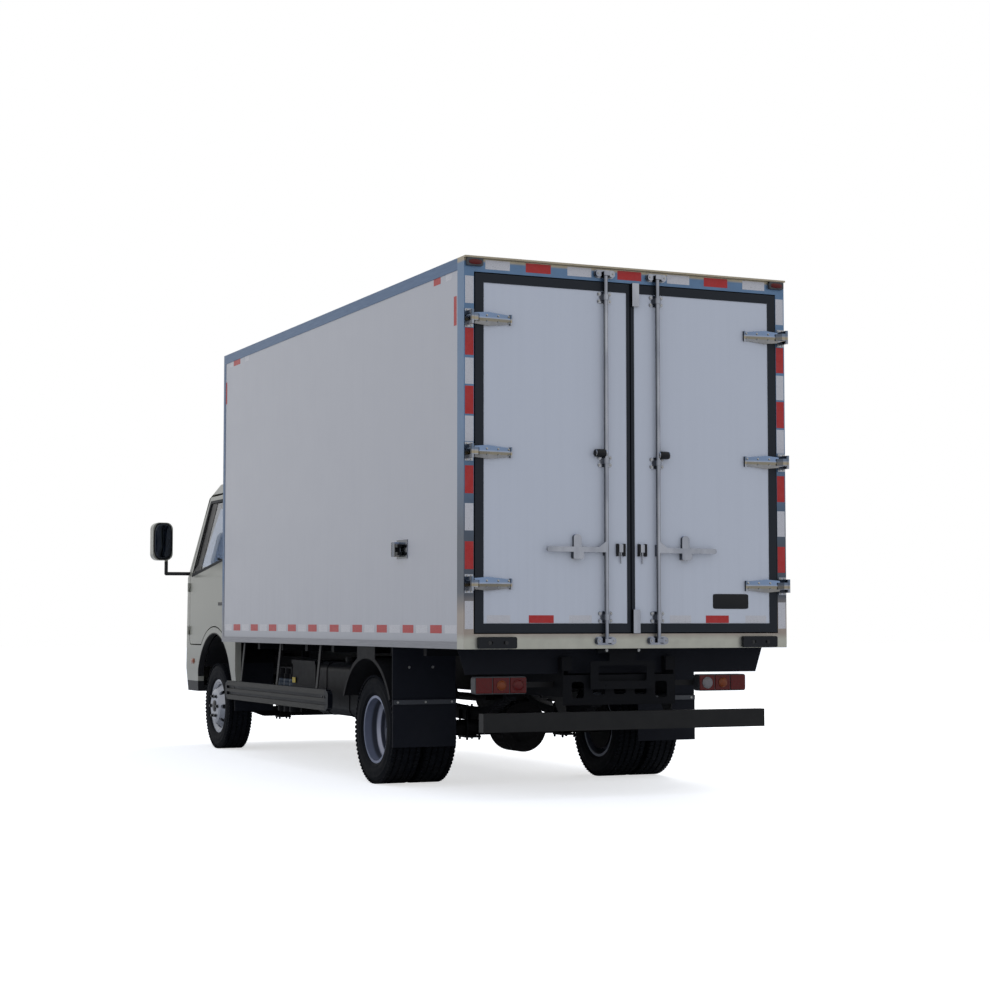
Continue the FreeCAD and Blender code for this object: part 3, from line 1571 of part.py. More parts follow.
def headlamp_form(side):
    return front_prism(rectangle(side * headlamp_inner_y, side * headlamp_outer_y,
                                 headlamp_bottom_z, headlamp_top_z), headlamp_corner,
                       cab_nose_x - bumper_setback, cab_nose_x + overrun)


def grille_slots():
    slots = []
    pitch = grille_slot_height + grille_bar_height
    half = headlamp_inner_y - grille_margin
    for i in range(grille_slot_count):
        z0 = grille_bottom_z + i * pitch
        slots.append(block(cab_nose_x - 2 * cab_wall - cab_bow, cab_nose_x + overrun, -half, half,
                           z0, z0 + grille_slot_height))
    return slots


def cab_parts():
    blank = cab_blank()
    front_skin = bumper_region().cut(cab_form(cab_wall))
    bumper = blank.common(front_skin)
    shell = blank.cut(front_skin).cut(screen_window())
    skin = cab_form(0).cut(cab_form(cab_wall))
    behind_skin = cab_form(cab_wall + door_edge_gap)
    door = skin.common(door_form(1, 0)).cut(side_window(1))
    left_space = block(cab_rear_x - overrun, cab_nose_x + overrun, 0, half_box, 0, box_top_z)
    left_half = shell.cut(door_form(1, door_edge_gap).cut(behind_skin)).common(left_space)
    shell = left_half.fuse(mirrored(left_half)).removeSplitter()
    doors = {"left": door, "right": mirrored(door)}
    lamps = []
    for side in sides.values():
        lamps.append(bumper.common(headlamp_form(side)))
        bumper = bumper.cut(headlamp_form(side))
    for slot in grille_slots():
        bumper = bumper.cut(slot)
    glass_skin = cab_form(glass_inset).cut(cab_form(glass_inset + glass_thickness))
    screen = glass_skin.common(screen_window())
    pane = glass_skin.common(side_window(1))
    panes = {"left": pane, "right": mirrored(pane)}
    return shell, bumper, doors, lamps, screen, panes


def cab_hinges(side):
    # Each hinge is a lower barrel on the pillar and an upper one on the door.
    x = cab_door_front_x + door_edge_gap
    y = side * (cab_half_width + cab_hinge_out)
    inner = side * (cab_half_width - 2 * cab_hinge_radius)
    fixed, moving = [], []
    for level in cab_hinge_levels:
        middle = level + cab_hinge_height
        fixed.append(fused([rod_z(x, y, level, middle, cab_hinge_radius),
                            block(x, x + 2 * cab_hinge_radius, y, inner, level, middle)]))
        low = middle + seat_gap
        moving.append(fused([rod_z(x, y, low, low + cab_hinge_height, cab_hinge_radius),
                             block(x - 2 * cab_hinge_radius, x, y, inner, low, low + cab_hinge_height)]))
    return fixed, moving


def seats():
    pieces = []
    x0 = cab_rear_x + seat_from_cab_rear
    front = x0 + seat_back_lean + seat_depth
    z0 = cab_floor_z
    top = z0 + seat_base_height
    left_edge = cab_half_width - seat_side_gap
    bench_edge = left_edge - seat_width - seat_space
    for y0, y1 in ((left_edge - seat_width, left_edge), (-left_edge, bench_edge)):
        base = block(x0 + seat_back_lean, front - overrun, y0 + overrun, y1 - overrun, z0, top)
        cushion = side_prism(rectangle(x0 + seat_back_lean, front, top, top + seat_cushion),
                             seat_cushion_corner, y0, y1)
        back = side_prism([(x0 + seat_back_lean, top), (x0 + seat_back_lean + seat_back_thickness, top),
                           (x0 + seat_back_thickness, top + seat_back_height),
                           (x0, top + seat_back_height)], seat_back_corner, y0, y1)
        pieces.append(fused([base, cushion, back]))
    return together(pieces)


def dashboard():
    x1 = cab_nose_x - cab_bow - cab_wall - side_glass_margin
    x0 = x1 - dash_depth
    half = cab_half_width - 2 * cab_wall - 2 * door_edge_gap
    bottom = dash_top_z - dash_height
    body = side_prism([(x0, bottom), (x1, bottom), (x1, dash_top_z), (x0 + dash_corner, dash_top_z)],
                      dash_body_corner, -half, half)
    body = body.common(cab_form(cab_wall + seat_gap))
    leg = block(x1 - dash_leg_length, x1, -dash_leg_half, dash_leg_half, footwell_floor_z,
                bottom + dash_corner)
    return fused([body, leg] + steering_wheel())


def steering_wheel():
    driver_y = cab_half_width - seat_side_gap - seat_width / 2
    tilt = math.radians(steering_wheel_tilt)
    axis = V(-math.sin(tilt), 0, math.cos(tilt))
    centre = V(cab_nose_x - steering_wheel_setback, driver_y, steering_wheel_z)
    pieces = [Part.makeTorus(steering_wheel_radius, steering_rim_radius, centre, axis),
              rod(centre.sub(axis * (2 * steering_wheel_radius)), centre, steering_column_radius)]
    for turn in range(steering_spoke_count):
        angle = 2 * math.pi * turn / steering_spoke_count
        flat = V(math.cos(tilt), 0, math.sin(tilt)) * math.cos(angle) + V(0, math.sin(angle), 0)
        pieces.append(rod(centre, centre.add(flat * steering_wheel_radius), steering_rim_radius))
    return pieces


def mirrors():
    # The foot of the arm is cut to the slope of the cab's side.
    x, y = cab_nose_x - mirror_head_setback, cab_half_width + mirror_head_out
    z0, z1 = mirror_bottom_z, mirror_bottom_z + mirror_height
    head = front_prism(rectangle(y - mirror_width / 2, y + mirror_width / 2, z0, z1),
                       mirror_corner, x, x + mirror_depth)
    foot = V(cab_nose_x - mirror_foot_setback, cab_half_width + mirror_foot_length, mirror_foot_z)
    elbow = V(x + mirror_depth / 2, y - mirror_post_in, mirror_foot_z)
    boss = rod_y(foot.x, cab_half_width - mirror_foot_length, foot.y, foot.z, mirror_arm_radius)
    pieces = [head, boss.cut(cab_form(0)), rod(foot, elbow, mirror_arm_radius),
              Part.makeSphere(mirror_arm_radius, elbow), Part.makeSphere(mirror_arm_radius, foot),
              rod(elbow, V(elbow.x, elbow.y, z0 + mirror_post_in), mirror_arm_radius)]
    mirror = fused(pieces)
    return together([mirror, mirrored(mirror)])


def main():
    save("box_floor", box_floor())
    save("box_roof", box_roof())
    for name, side in sides.items():
        save("box_" + name + "_wall", box_side_wall(side))
        save(name + "_cargo_door", cargo_door(side))
        save(name + "_cargo_door_seal", cargo_door_seal(side))
        save(name + "_cargo_door_fittings", door_fittings(side))
        save("front_" + name + "_tyre", front_tyre(side))
        save("front_" + name + "_rim", front_rim(side))
        save("rear_" + name + "_tyres", rear_tyres(side))
        save("rear_" + name + "_rims", rear_rims(side))
        save(name + "_knuckle", knuckle(side))
    save("box_front_wall", box_front_wall())
    save("box_edge_rails", box_edge_rails())
    save("rear_frame", rear_frame())
    save("frame_fittings", frame_fittings())
    save("rubber_buffers", rubber_buffers())
    save("cooling_unit", cooling_unit())
    save("frame_rails", frame_rails())
    save("box_subframe", box_subframe())
    save("front_axle", front_axle())
    save("rear_axle", fused([rear_axle(), propeller_shaft()]))
    save("leaf_springs", leaf_springs())
    save("engine_block", engine_block())
    save("fuel_tank", fuel_tank())
    save("battery_box", together([battery_box(), air_filters()]))
    save("exhaust", exhaust())
    save("rear_fenders", rear_fenders())
    save("front_liners", front_liners())
    save("mud_flaps", mud_flaps())
    save("side_guards", side_guards())
    save("underrun_bar", fused([underrun_bar()] + lamp_brackets().Solids))
    save("rear_valance", rear_valance())
    save("plate_bracket", plate_bracket())
    save("rear_lamps", rear_lamps())
    shell, bumper, doors, lamps, screen, panes = cab_parts()
    hinges = []
    for name, side in sides.items():
        fixed, moving = cab_hinges(side)
        hinges += fixed
        save(name + "_cab_door", fused([doors[name]] + moving))
        save(name + "_cab_door_glass", panes[name])
    save("cab_shell", fused([shell] + hinges))
    save("front_bumper", bumper)
    save("headlamps", together(lamps))
    save("windscreen", screen)
    save("seats", seats())
    save("dashboard", dashboard())
    save("mirrors", mirrors())


main()
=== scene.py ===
# %% [markdown]
# # A refrigerated box truck, dressed around its CAD parts
# The solid parts of the truck come from CAD and stay where they are. This lesson gives each of
# them a finish, and adds what the CAD parts leave out: tyre treads, reflective tape, bolts, lamp
# lenses, mirror glass, padded seats and rubber trims. Lengths are metres. +X is forward, +Y is
# the truck's left and +Z is up.

import math

import bmesh
import bpy
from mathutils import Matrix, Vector


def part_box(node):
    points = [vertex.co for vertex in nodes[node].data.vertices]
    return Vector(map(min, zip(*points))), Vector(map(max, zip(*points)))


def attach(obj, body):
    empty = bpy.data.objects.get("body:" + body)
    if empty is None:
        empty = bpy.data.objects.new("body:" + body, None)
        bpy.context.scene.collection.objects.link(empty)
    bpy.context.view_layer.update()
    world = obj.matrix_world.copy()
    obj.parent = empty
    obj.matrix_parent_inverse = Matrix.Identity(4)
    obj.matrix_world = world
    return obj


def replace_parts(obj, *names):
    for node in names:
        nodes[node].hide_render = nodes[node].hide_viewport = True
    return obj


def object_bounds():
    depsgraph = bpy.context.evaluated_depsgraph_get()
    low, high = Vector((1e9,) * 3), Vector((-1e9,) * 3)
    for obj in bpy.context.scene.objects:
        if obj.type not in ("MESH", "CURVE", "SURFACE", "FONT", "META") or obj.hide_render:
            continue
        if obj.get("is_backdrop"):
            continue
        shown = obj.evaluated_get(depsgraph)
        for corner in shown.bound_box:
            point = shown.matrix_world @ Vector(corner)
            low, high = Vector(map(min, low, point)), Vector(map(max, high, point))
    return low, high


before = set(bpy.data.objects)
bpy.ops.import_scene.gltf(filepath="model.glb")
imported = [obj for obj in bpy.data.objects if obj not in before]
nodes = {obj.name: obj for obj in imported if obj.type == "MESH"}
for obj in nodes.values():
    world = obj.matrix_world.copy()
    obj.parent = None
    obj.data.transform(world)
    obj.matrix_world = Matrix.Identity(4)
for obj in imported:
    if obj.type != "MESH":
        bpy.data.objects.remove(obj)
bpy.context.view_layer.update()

# %% [markdown]
# Every place below is worked out from a few planes of the CAD model, so the pieces stay seated
# if a size changes: the rear face of the box, its floor line, and the wheel centres. The heights
# of the hinges, rod guides and keepers count from the floor line.

# %% Planes of the truck
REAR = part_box("left_cargo_door")[0].x
BOX_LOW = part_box("box_left_wall")[0].z
BOX_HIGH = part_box("box_left_wall")[1].z
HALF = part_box("box_left_wall")[1].y
BOX_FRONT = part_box("box_front_wall")[1].x
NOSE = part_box("front_bumper")[1].x
SIDES = (("left", 1), ("right", -1))
HINGE_Z = (0.345, 1.05, 1.767)
GUIDE_Z = (0.168, 1.022, 1.928)
KEEPER_Z = (0.039, 2.06)
ROD_Y = 0.162


def middle(node):
    low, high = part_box(node)
    return (low + high) / 2


FRONT_AXLE = middle("front_left_tyre").x
REAR_AXLE = middle("rear_left_tyres").x
AXLE_Z = middle("rear_left_tyres").z
print("rear face", round(REAR, 4), "axles", round(REAR_AXLE, 3), round(FRONT_AXLE, 3))

# %% [markdown]
# A bolt or a lens sits on the real surface and not on a guessed one. So each of them lands where
# a ray meets a CAD part: `landing` shoots one from anywhere, and the three others from in front,
# from beside and from behind the truck.

# %% Rays
AHEAD, BESIDE, BEHIND = 4.0, 1.3, REAR - 0.2


def landing(node, start, direction):
    """The place and the outward direction where a ray from start meets the CAD node."""
    hit, place, normal, _ = nodes[node].ray_cast(Vector(start), Vector(direction).normalized())
    if not hit:
        raise RuntimeError("nothing of %s in the way of %s" % (node, tuple(start)))
    return place, normal


def from_front(node, y, z):
    return landing(node, (AHEAD, y, z), (-1, 0, 0))


def from_side(node, sign, x, z):
    return landing(node, (x, sign * BESIDE, z), (0, -sign, 0))


def from_behind(node, y, z):
    return landing(node, (BEHIND, y, z), (1, 0, 0))


print("rays ready")

# %% [markdown]
# A photograph's viewing angle is repeated by putting the camera where the photographer stood.
# The place and the direction were solved from the corners of the box and the wheel centres, and
# the lens from their perspective. There is no shift and no depth of field.

# %% Camera
LENS = 72.73
CAMERA_AT = Vector((REAR - 9.75, HALF + 4.202, BOX_LOW + 0.144))
HEADING, PITCH = -0.4223, 0.0632


def add_camera():
    data = bpy.data.cameras.new("photo_camera")
    data.lens = LENS
    data.clip_end = 200
    camera = bpy.data.objects.new("photo_camera", data)
    bpy.context.scene.collection.objects.link(camera)
    look = Vector((math.cos(PITCH) * math.cos(HEADING), math.cos(PITCH) * math.sin(HEADING),
                   math.sin(PITCH)))
    camera.location = CAMERA_AT
    camera.rotation_euler = look.to_track_quat("-Z", "Y").to_euler()
    bpy.context.scene.camera = camera
    return camera


print("camera at", tuple(add_camera().location))

# %% [markdown]
# Node trees are easier to read as sums than as wires. The class below wraps one socket of a
# tree, and each operator adds the Math node that it stands for, in both orders, so that
# `1 - mask` works as well as `mask * 2`. Any other node comes from one method, which takes the
# node's type, the values or wires of its sockets, and its settings as keywords.

# %% Writing nodes as expressions
class Wire:
    """One output socket, with arithmetic."""

    def __init__(self, tree, socket):
        self.tree, self.socket = tree, socket

    def maths(self, operation, first, second):
        return self.tree.add("ShaderNodeMath", {0: first, 1: second}, operation=operation)

    def __add__(self, other):
        return self.maths("ADD", self, other)

    def __radd__(self, other):
        return self.maths("ADD", other, self)

    def __sub__(self, other):
        return self.maths("SUBTRACT", self, other)

    def __rsub__(self, other):
        return self.maths("SUBTRACT", other, self)

    def __mul__(self, other):
        return self.maths("MULTIPLY", self, other)

    def __rmul__(self, other):
        return self.maths("MULTIPLY", other, self)

    def __truediv__(self, other):
        return self.maths("DIVIDE", self, other)

    def __gt__(self, other):
        return self.maths("GREATER_THAN", self, other)

    def __lt__(self, other):
        return self.maths("LESS_THAN", self, other)

    def clamped(self):
        return self.maths("MINIMUM", self.maths("MAXIMUM", self, 0), 1)

    def size(self):
        return self.maths("ABSOLUTE", self, 0)

    def wave(self):
        return self.maths("SINE", self, 0)

    def between(self, low, high):
        """0 below low, 1 above high, and even in between."""
        return ((self - low) / (high - low)).clamped()


class Nodes:
    """A node tree that is filled from Python, for a material, the world or geometry."""

    def __init__(self, tree):
        self.tree = tree

    def feed(self, socket, value):
        if isinstance(value, Wire):
            self.tree.links.new(value.socket, socket)
        elif socket.type == "RGBA" and len(value) == 3:
            socket.default_value = (*value, 1)
        else:
            socket.default_value = value

    def add(self, kind, inputs=None, out=0, **settings):
        """A new node and one of its outputs. A list feeds several wires to one socket."""
        node = self.tree.nodes.new(kind)
        for key, value in settings.items():
            setattr(node, key, value)
        for key, value in (inputs or {}).items():
            for one in value if isinstance(value, list) else [value]:
                self.feed(node.inputs[key], one)
        return Wire(self, node.outputs[out])

    def end(self, kind, key, wire):
        """The node that closes the tree."""
        self.feed(self.tree.nodes.new(kind).inputs[key], wire)

    def mix(self, factor, first, second):
        return self.add("ShaderNodeMix", {0: factor, 6: first, 7: second}, out=2, data_type="RGBA")


class Finish(Nodes):
    """A material: one Principled shader, its fixed values, and what varies over the surface."""

    def __init__(self, name, **fixed):
        self.material = bpy.data.materials.new(name)
        self.material.use_nodes = True
        super().__init__(self.material.node_tree)
        self.shader = self.tree.nodes["Principled BSDF"]
        self.set(**fixed)
        self.place = self.add("ShaderNodeTexCoord", out="Object")

    def set(self, **values):
        for key, value in values.items():
            title = key.replace("_", " ").title().replace("Ior", "IOR")
            self.feed(self.shader.inputs[title], value)
        return self.material

    def part(self, vector, letter):
        return self.add("ShaderNodeSeparateXYZ", {0: vector}, out=letter)

    def axis(self, letter):
        return self.part(self.place, letter)

    def noise(self, scale, detail=4.0, roughness=0.55, stretch=(1, 1, 1)):
        at = self.add("ShaderNodeMapping", {"Vector": self.place, "Scale": stretch})
        return self.add("ShaderNodeTexNoise", {"Vector": at, "Scale": scale, "Detail": detail,
                                               "Roughness": roughness})

    def cells(self, scale):
        return self.add("ShaderNodeTexVoronoi", {"Vector": self.place, "Scale": scale},
                        feature="DISTANCE_TO_EDGE")

    def done(self, shade, rough, height, strength, distance):
        """The material, with the colour, the roughness and the relief that it ends up with."""
        relief = self.add("ShaderNodeBump", {"Height": height, "Strength": strength,
                                             "Distance": distance})
        return self.set(base_color=shade, roughness=rough, normal=relief)


def times(colour, factor):
    return tuple(c * factor for c in colour)


print("helpers ready")

# %% [markdown]
# Most painted, moulded and cast surfaces differ in the same few ways: how even the colour is,
# how fine the grain is, how the gloss wanders, and how much road dust has settled low down. One
# helper makes that family. The scale of its noise counts waves in a metre, so the grain is the
# same on a small bracket and on a long rail. The special finishes follow one by one.

# %% The plain family of finishes
DUST = (0.17, 0.155, 0.135)
CLOUDS = 3.0


def plain(name, colour, roughness, metallic=0.0, mottle=0.12, grain=900.0, grain_strength=0.1,
          dust=0.0, dust_top=0.9, gloss=0.5):
    f = Finish(name, metallic=metallic, specular_ior_level=gloss)
    shade = f.mix(f.noise(CLOUDS), times(colour, 1 - mottle), times(colour, 1 + mottle))
    rough = roughness * 0.8 + f.noise(CLOUDS * 7) * roughness * 0.4
    if dust:
        low = 1 - f.axis("Z").between(0.2, dust_top)
        mask = (f.noise(9.0, 6.0).between(0.35, 0.75) * low * dust).clamped()
        shade = f.mix(mask, shade, DUST)
        rough = (rough + mask * 0.4).clamped()
    return f.done(shade, rough, f.noise(grain, 2.0), grain_strength, 0.0004)


DULL, DIM = 0.05, 0.15
CHASSIS = plain("chassis_black", (0.0065, 0.0068, 0.008), 0.5, dust=0.03, grain=500.0, gloss=DULL)
CAST = plain("cast_iron", (0.0085, 0.008, 0.0082), 0.66, 0.2, dust=0.04, grain=260.0,
             grain_strength=0.5, gloss=DULL)
TANK = plain("tank_paint", (0.005, 0.0052, 0.0065), 0.4, dust=0.02, gloss=DULL)
UNDERRUN = plain("underrun_black", (0.0095, 0.0095, 0.0095), 0.45, dust=0.04, grain=500.0,
                 gloss=DIM)
VALANCE = plain("valance_black", (0.009, 0.0098, 0.013), 0.5, dust=0.02, grain_strength=0.2,
                gloss=DULL)
GUARD_PLASTIC = plain("guard_plastic", (0.0095, 0.0095, 0.0105), 0.5, dust=0.05,
                      grain_strength=0.3, gloss=DULL)
FLAP = plain("flap_rubber", (0.01, 0.011, 0.015), 0.5, mottle=0.2, grain=600.0, dust=0.02,
             gloss=DULL)
RUBBER = plain("black_rubber", (0.013, 0.014, 0.016), 0.55, mottle=0.25, grain=700.0, gloss=DIM)
SEAL = plain("door_seal", (0.014, 0.017, 0.022), 0.42, mottle=0.2, grain=1200.0, gloss=DIM)
TRIM = plain("trim_grey", (0.035, 0.035, 0.038), 0.55, grain=1500.0, grain_strength=0.35)
KNOB = plain("knob_black", (0.01, 0.01, 0.011), 0.35, gloss=DIM)
STRIP = plain("flap_strip_grey", (0.026, 0.029, 0.036), 0.45)
BLANK = plain("blank_plate_black", (0.012, 0.012, 0.013), 0.3, grain=1500.0, gloss=DIM)
YELLOW = plain("blank_patch_yellow", (0.55, 0.4, 0.02), 0.4)
CANISTER = plain("canister_blue_grey", (0.035, 0.05, 0.072), 0.35, 0.3)
print("plain finishes made")

# %% [markdown]
# The box is clad in smooth composite sheet: white, half gloss, very slightly wavy, with faint
# streaks where water has run. The side walls are the same sheet in a darker copy, as painted
# shade, with a painted shadow along their foot. The waves are wide and only a fraction of a
# millimetre deep, so they show in reflections and not in the outline.

# %% White panels
def panel_finish(name, colour, streaks, foot_shadow_strength=0.0):
    f = Finish(name, coat_weight=0.08, coat_roughness=0.15, specular_ior_level=0.3)
    runs = f.noise(1.0, 5.0, 0.6, stretch=(26, 26, 0.7)).between(0.45, 0.8)
    low = 1 - f.axis("Z").between(0.8, 1.5)
    grime = (runs * streaks + low * runs * streaks * 2).clamped()
    shade = f.mix(grime, colour, times(colour, 0.78))
    # Painted shadow: the colour darkens toward the foot of the wall.
    foot_shadow = 1 - f.axis("Z").between(BOX_LOW + 0.03, BOX_LOW + 0.12)
    shade = f.mix(foot_shadow * foot_shadow_strength, shade, times(colour, 0.75))
    waves = f.noise(1.6, 1.0, stretch=(1, 1, 0.5)) + f.noise(240.0, 2.0) * 0.01
    rough = 0.3 + f.noise(5.0) * 0.12 + grime * 0.2
    return f.done(shade, rough, waves, 0.12, 0.004)


PANEL = panel_finish("white_panel", (0.525, 0.54, 0.58), 0.1)
# Painted shade: the side walls are the white sheet in a darker copy.
SHADED_WALL = panel_finish("wall_panel", (0.43, 0.425, 0.44), 0.08, foot_shadow_strength=0.9)
UNIT_SHELL = panel_finish("unit_shell", (0.55, 0.57, 0.59), 0.14)
print("panel finishes made")

# %% [markdown]
# Extruded aluminium has fine lines along its length. A reflection is painted into the colour of the
# rails and the rear frame: the blue of the sky high up and the warm ground low down, so their
# colour changes with height.

# %% Bare metals
def brushed(name, colour, low_reflection, low_z, roughness, stretch, steps=()):
    """Fine lines along a rail, under a painted reflection. Below the second of low_z the colour
    moves toward low_reflection, and each of steps, a colour with two heights, takes over between
    its heights as a painted reflection band."""
    f = Finish(name, metallic=0.6)
    lines = f.noise(4.0, 3.0, stretch=stretch)
    high = f.axis("Z").between(*low_z)
    # Painted reflection: clouds of the low colour reach up into the high colour.
    reflection_cloud = f.noise(7.0).between(0.3, 0.7) * 0.3
    base = f.mix((high - reflection_cloud * (1 - high)).clamped(), low_reflection, colour)
    for band_reflection, start, end in steps:
        base = f.mix(f.axis("Z").between(start, end), base, band_reflection)
    shade = f.mix(lines * 0.3, base, (0.02, 0.025, 0.03))
    rough = roughness * 0.75 + lines * roughness * 0.5
    return f.done(shade, rough, lines, 0.1, 0.0005)


# Painted reflection: sky blue above, grey ground below.
EDGE = brushed("edge_aluminium", (0.058, 0.122, 0.232), (0.23, 0.231, 0.25), (0.87, 1.3), 0.4,
               (2, 60, 60))
# Painted reflection bands of the rear frame: a dark band, the blue of the sky above it and a warm
# strip at the top.
REAR_REFLECTION_BANDS = (((0.075, 0.09, 0.115), 1.0, 1.12), ((0.105, 0.185, 0.305), 1.4, 2.0),
              ((0.36, 0.31, 0.22), BOX_HIGH - 0.03, BOX_HIGH - 0.018))
REAR_FRAME = brushed("rear_frame_metal", (0.34, 0.285, 0.24), (0.45, 0.44, 0.37), (0.86, 0.9),
                     0.36, (60, 3, 3), REAR_REFLECTION_BANDS)
GUARD_FACE, GUARD_FLOOR = 0.987, 0.962
GUARD_CAPS = (REAR_AXLE + 0.759, BOX_FRONT - 0.129)


def guard_finish():
    """Satin aluminium; the floor of its grooves is dark as painted shade, and the caps on its ends
    are black.
    """
    f = Finish("guard_aluminium", metallic=0.1, specular_ior_level=0.12)
    lines = f.noise(4.0, 3.0, stretch=(2, 60, 60))
    # Painted shade: the groove floors, between GUARD_FLOOR and GUARD_FACE, get the dark colour, and
    # what lies deeper than GUARD_FLOOR gets most of it.
    face = (f.axis("Y").size() > GUARD_FACE) + (f.axis("Y").size() < GUARD_FLOOR) * 0.35
    caps = (f.axis("X") > GUARD_CAPS[1]) + (f.axis("X") < GUARD_CAPS[0])
    lit_face_uncapped = (face - caps).clamped()
    shade = f.mix(lit_face_uncapped * (0.75 + lines * 0.25), (0.003, 0.004, 0.007), (0.0175, 0.0165, 0.0135))
    return f.done(shade, 0.36 + lines * 0.2, lines, 0.1, 0.0005)


def plated(name, colour, roughness):
    f = Finish(name, metallic=1.0)
    spots = f.noise(45.0, 4.0)
    shade = f.mix(spots.between(0.35, 0.7), colour, times(colour, 0.8))
    return f.done(shade, roughness + spots * roughness * 0.8, f.noise(60.0, 2.0), 0.06, 0.0006)


STRAP_HALF, STRAP_IN = 0.037, 0.72


def chrome_finish():
    """Plating with a painted reflection: the sky on what faces up, the ground on what faces down,
    and dark flanks.
    Each hinge strap has a painted blue reflection on its upper slope and a painted warm line along
    its middle."""
    f = Finish("zinc_chrome", metallic=1.0)
    # Painted highlights: patches of brighter plating.
    highlight_patches = f.noise(16.0, 2.0, stretch=(1, 0.6, 0.25)).between(0.35, 0.65)
    shade = f.mix(highlight_patches, (0.21, 0.225, 0.265), (0.33, 0.345, 0.385))
    facing = f.add("ShaderNodeNewGeometry", out="Normal")
    up, flank = f.part(facing, "Z"), f.part(facing, "Y").size()
    on_strap = f.axis("Y").size() > STRAP_IN
    # Painted reflection on each hinge strap: blue on the upper slope, a warm line along the middle.
    for z in HINGE_Z:
        rise = (f.axis("Z") - (BOX_LOW + z)) / STRAP_HALF
        near = (rise.size() < 1.05) * on_strap
        shade = f.mix(near * rise.between(0.05, 0.25), shade, (0.12, 0.155, 0.215))
        line = near * (0 - rise).between(-0.1, 0.1) * (rise > -0.4)
        shade = f.mix(line, shade, (0.27, 0.24, 0.18))
    # Painted reflection by the way a face points: sky above, ground below, dark on the flanks.
    shade = f.mix(up.between(0.1, 0.9) * 0.8, shade, (0.2, 0.3, 0.5))
    shade = f.mix((0 - up).between(0.1, 0.9) * 0.8, shade, (0.42, 0.36, 0.25))
    shade = f.mix(flank.between(0.35, 0.9) * 0.8, shade, (0.04, 0.045, 0.055))
    return f.done(shade, 0.14 + highlight_patches * 0.1, f.noise(60.0, 2.0), 0.06, 0.0006)


def rear_rim_finish():
    """The barrel of the outer rim falls back to its disc, with painted rings of highlight and shade
    on the way, where light falls on its steps.
    """
    f = Finish("wheel_blue_grey", metallic=0.4)
    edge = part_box("rear_left_rims")[1].y
    disc = from_side("rear_left_rims", 1, REAR_AXLE + 0.1, AXLE_Z)[0].y
    depth = (edge - f.axis("Y").size()) / (edge - disc)
    shade = f.mix(f.noise(9.0, 4.0), (0.17, 0.19, 0.26), (0.21, 0.23, 0.31))
    # Painted highlights and shade: light and dark rings by depth down the barrel.
    for start, end, colour in ((0.22, 0.3, (0.06, 0.065, 0.085)), (0.42, 0.46, (0.34, 0.35, 0.42)),
                               (0.54, 0.6, (0.07, 0.075, 0.1)), (0.78, 0.84, (0.3, 0.31, 0.36)),
                               (0.88, 0.92, (0.1, 0.11, 0.14))):
        shade = f.mix(depth.between(start, end), shade, colour)
    return f.done(shade, 0.36 + f.noise(40.0) * 0.1, f.noise(800.0, 2.0), 0.1, 0.0003)


GUARD = guard_finish()
CHROME = chrome_finish()
BOLT = plated("bolt_zinc", (0.36, 0.36, 0.35), 0.25)
DARK_BOLT = plain("bolt_black", (0.02, 0.02, 0.021), 0.4, metallic=0.5)
WHEEL = plain("wheel_silver", (0.3, 0.31, 0.34), 0.34, 0.5, dust=0.12, dust_top=0.8, grain=800.0)
REAR_WHEEL = rear_rim_finish()
print("metals made")

# %% [markdown]
# The cab is gloss cream paint with a clear coat. The bumper has the same paint with a black
# lower lip, and the mirrors have black arms behind cream heads. Both are one part in CAD, so a
# mask on position switches between the two finishes.

# %% Cab paint
CREAM, PAINT_BLACK = (0.278, 0.272, 0.228), (0.014, 0.014, 0.015)
LIP_Z, GRILLE_HALF, GRILLE_Z = 0.5, 0.43, (0.47, 0.75)
ARCH_Z, ARCH_R = 0.402, 0.478


def two_tone(name, mask_of=None):
    """Cream paint, and black where the mask says so."""
    f = Finish(name, coat_weight=0.1, coat_roughness=0.08, specular_ior_level=0.15)
    shade = f.mix(f.noise(2.0), times(CREAM, 0.97), times(CREAM, 1.03))
    dust = (1 - f.axis("Z").between(0.4, 1.1)) * f.noise(3.0, 3.0).between(0.4, 0.8) * 0.2
    shade = f.mix(dust.clamped(), shade, DUST)
    rough = 0.26 + f.noise(2.5) * 0.05 + dust * 0.3
    if mask_of:
        mask = mask_of(f)
        shade = f.mix(mask, shade, PAINT_BLACK)
        rough = rough + mask * 0.25
    return f.done(shade, rough, f.noise(3.0, 1.0), 0.02, 0.002)


def bumper_mask(f):
    z = f.axis("Z")
    inside = (f.axis("Y").size() < GRILLE_HALF) * (z > GRILLE_Z[0]) * (z < GRILLE_Z[1])
    return ((z < LIP_Z) + inside).clamped()


def cab_mask(f):
    """The floor's underside, the wheel arches and the inside of the cab are not painted cream."""
    under = f.axis("Z") < 0.44
    inside = (f.axis("Y").size() < 0.8) * (f.axis("Z") < 1.0) * (f.axis("X") < NOSE - 0.12)
    along, rise = f.axis("X") - FRONT_AXLE, f.axis("Z") - ARCH_Z
    arch = (along * along + rise * rise) < ARCH_R * ARCH_R
    return (under + inside + arch).clamped()


def mirror_mask(f):
    """The arms and what is below the head are black."""
    return ((f.axis("Y").size() < 1.0) + (f.axis("Z") < 1.44)).clamped()


CAB = two_tone("cab_paint", cab_mask)
DOOR_PAINT = two_tone("door_paint")
BUMPER = two_tone("bumper_paint", bumper_mask)
MIRROR_CASE = two_tone("mirror_case", mirror_mask)
print("cab paints made")

# %% [markdown]
# Glass is a Principled shader with full transmission. A blue-grey tint and a little haze keep it
# from vanishing. A headlamp is a fluted reflector under a clear skin, a lens has small moulded
# ribs, and a mirror is dark plating.

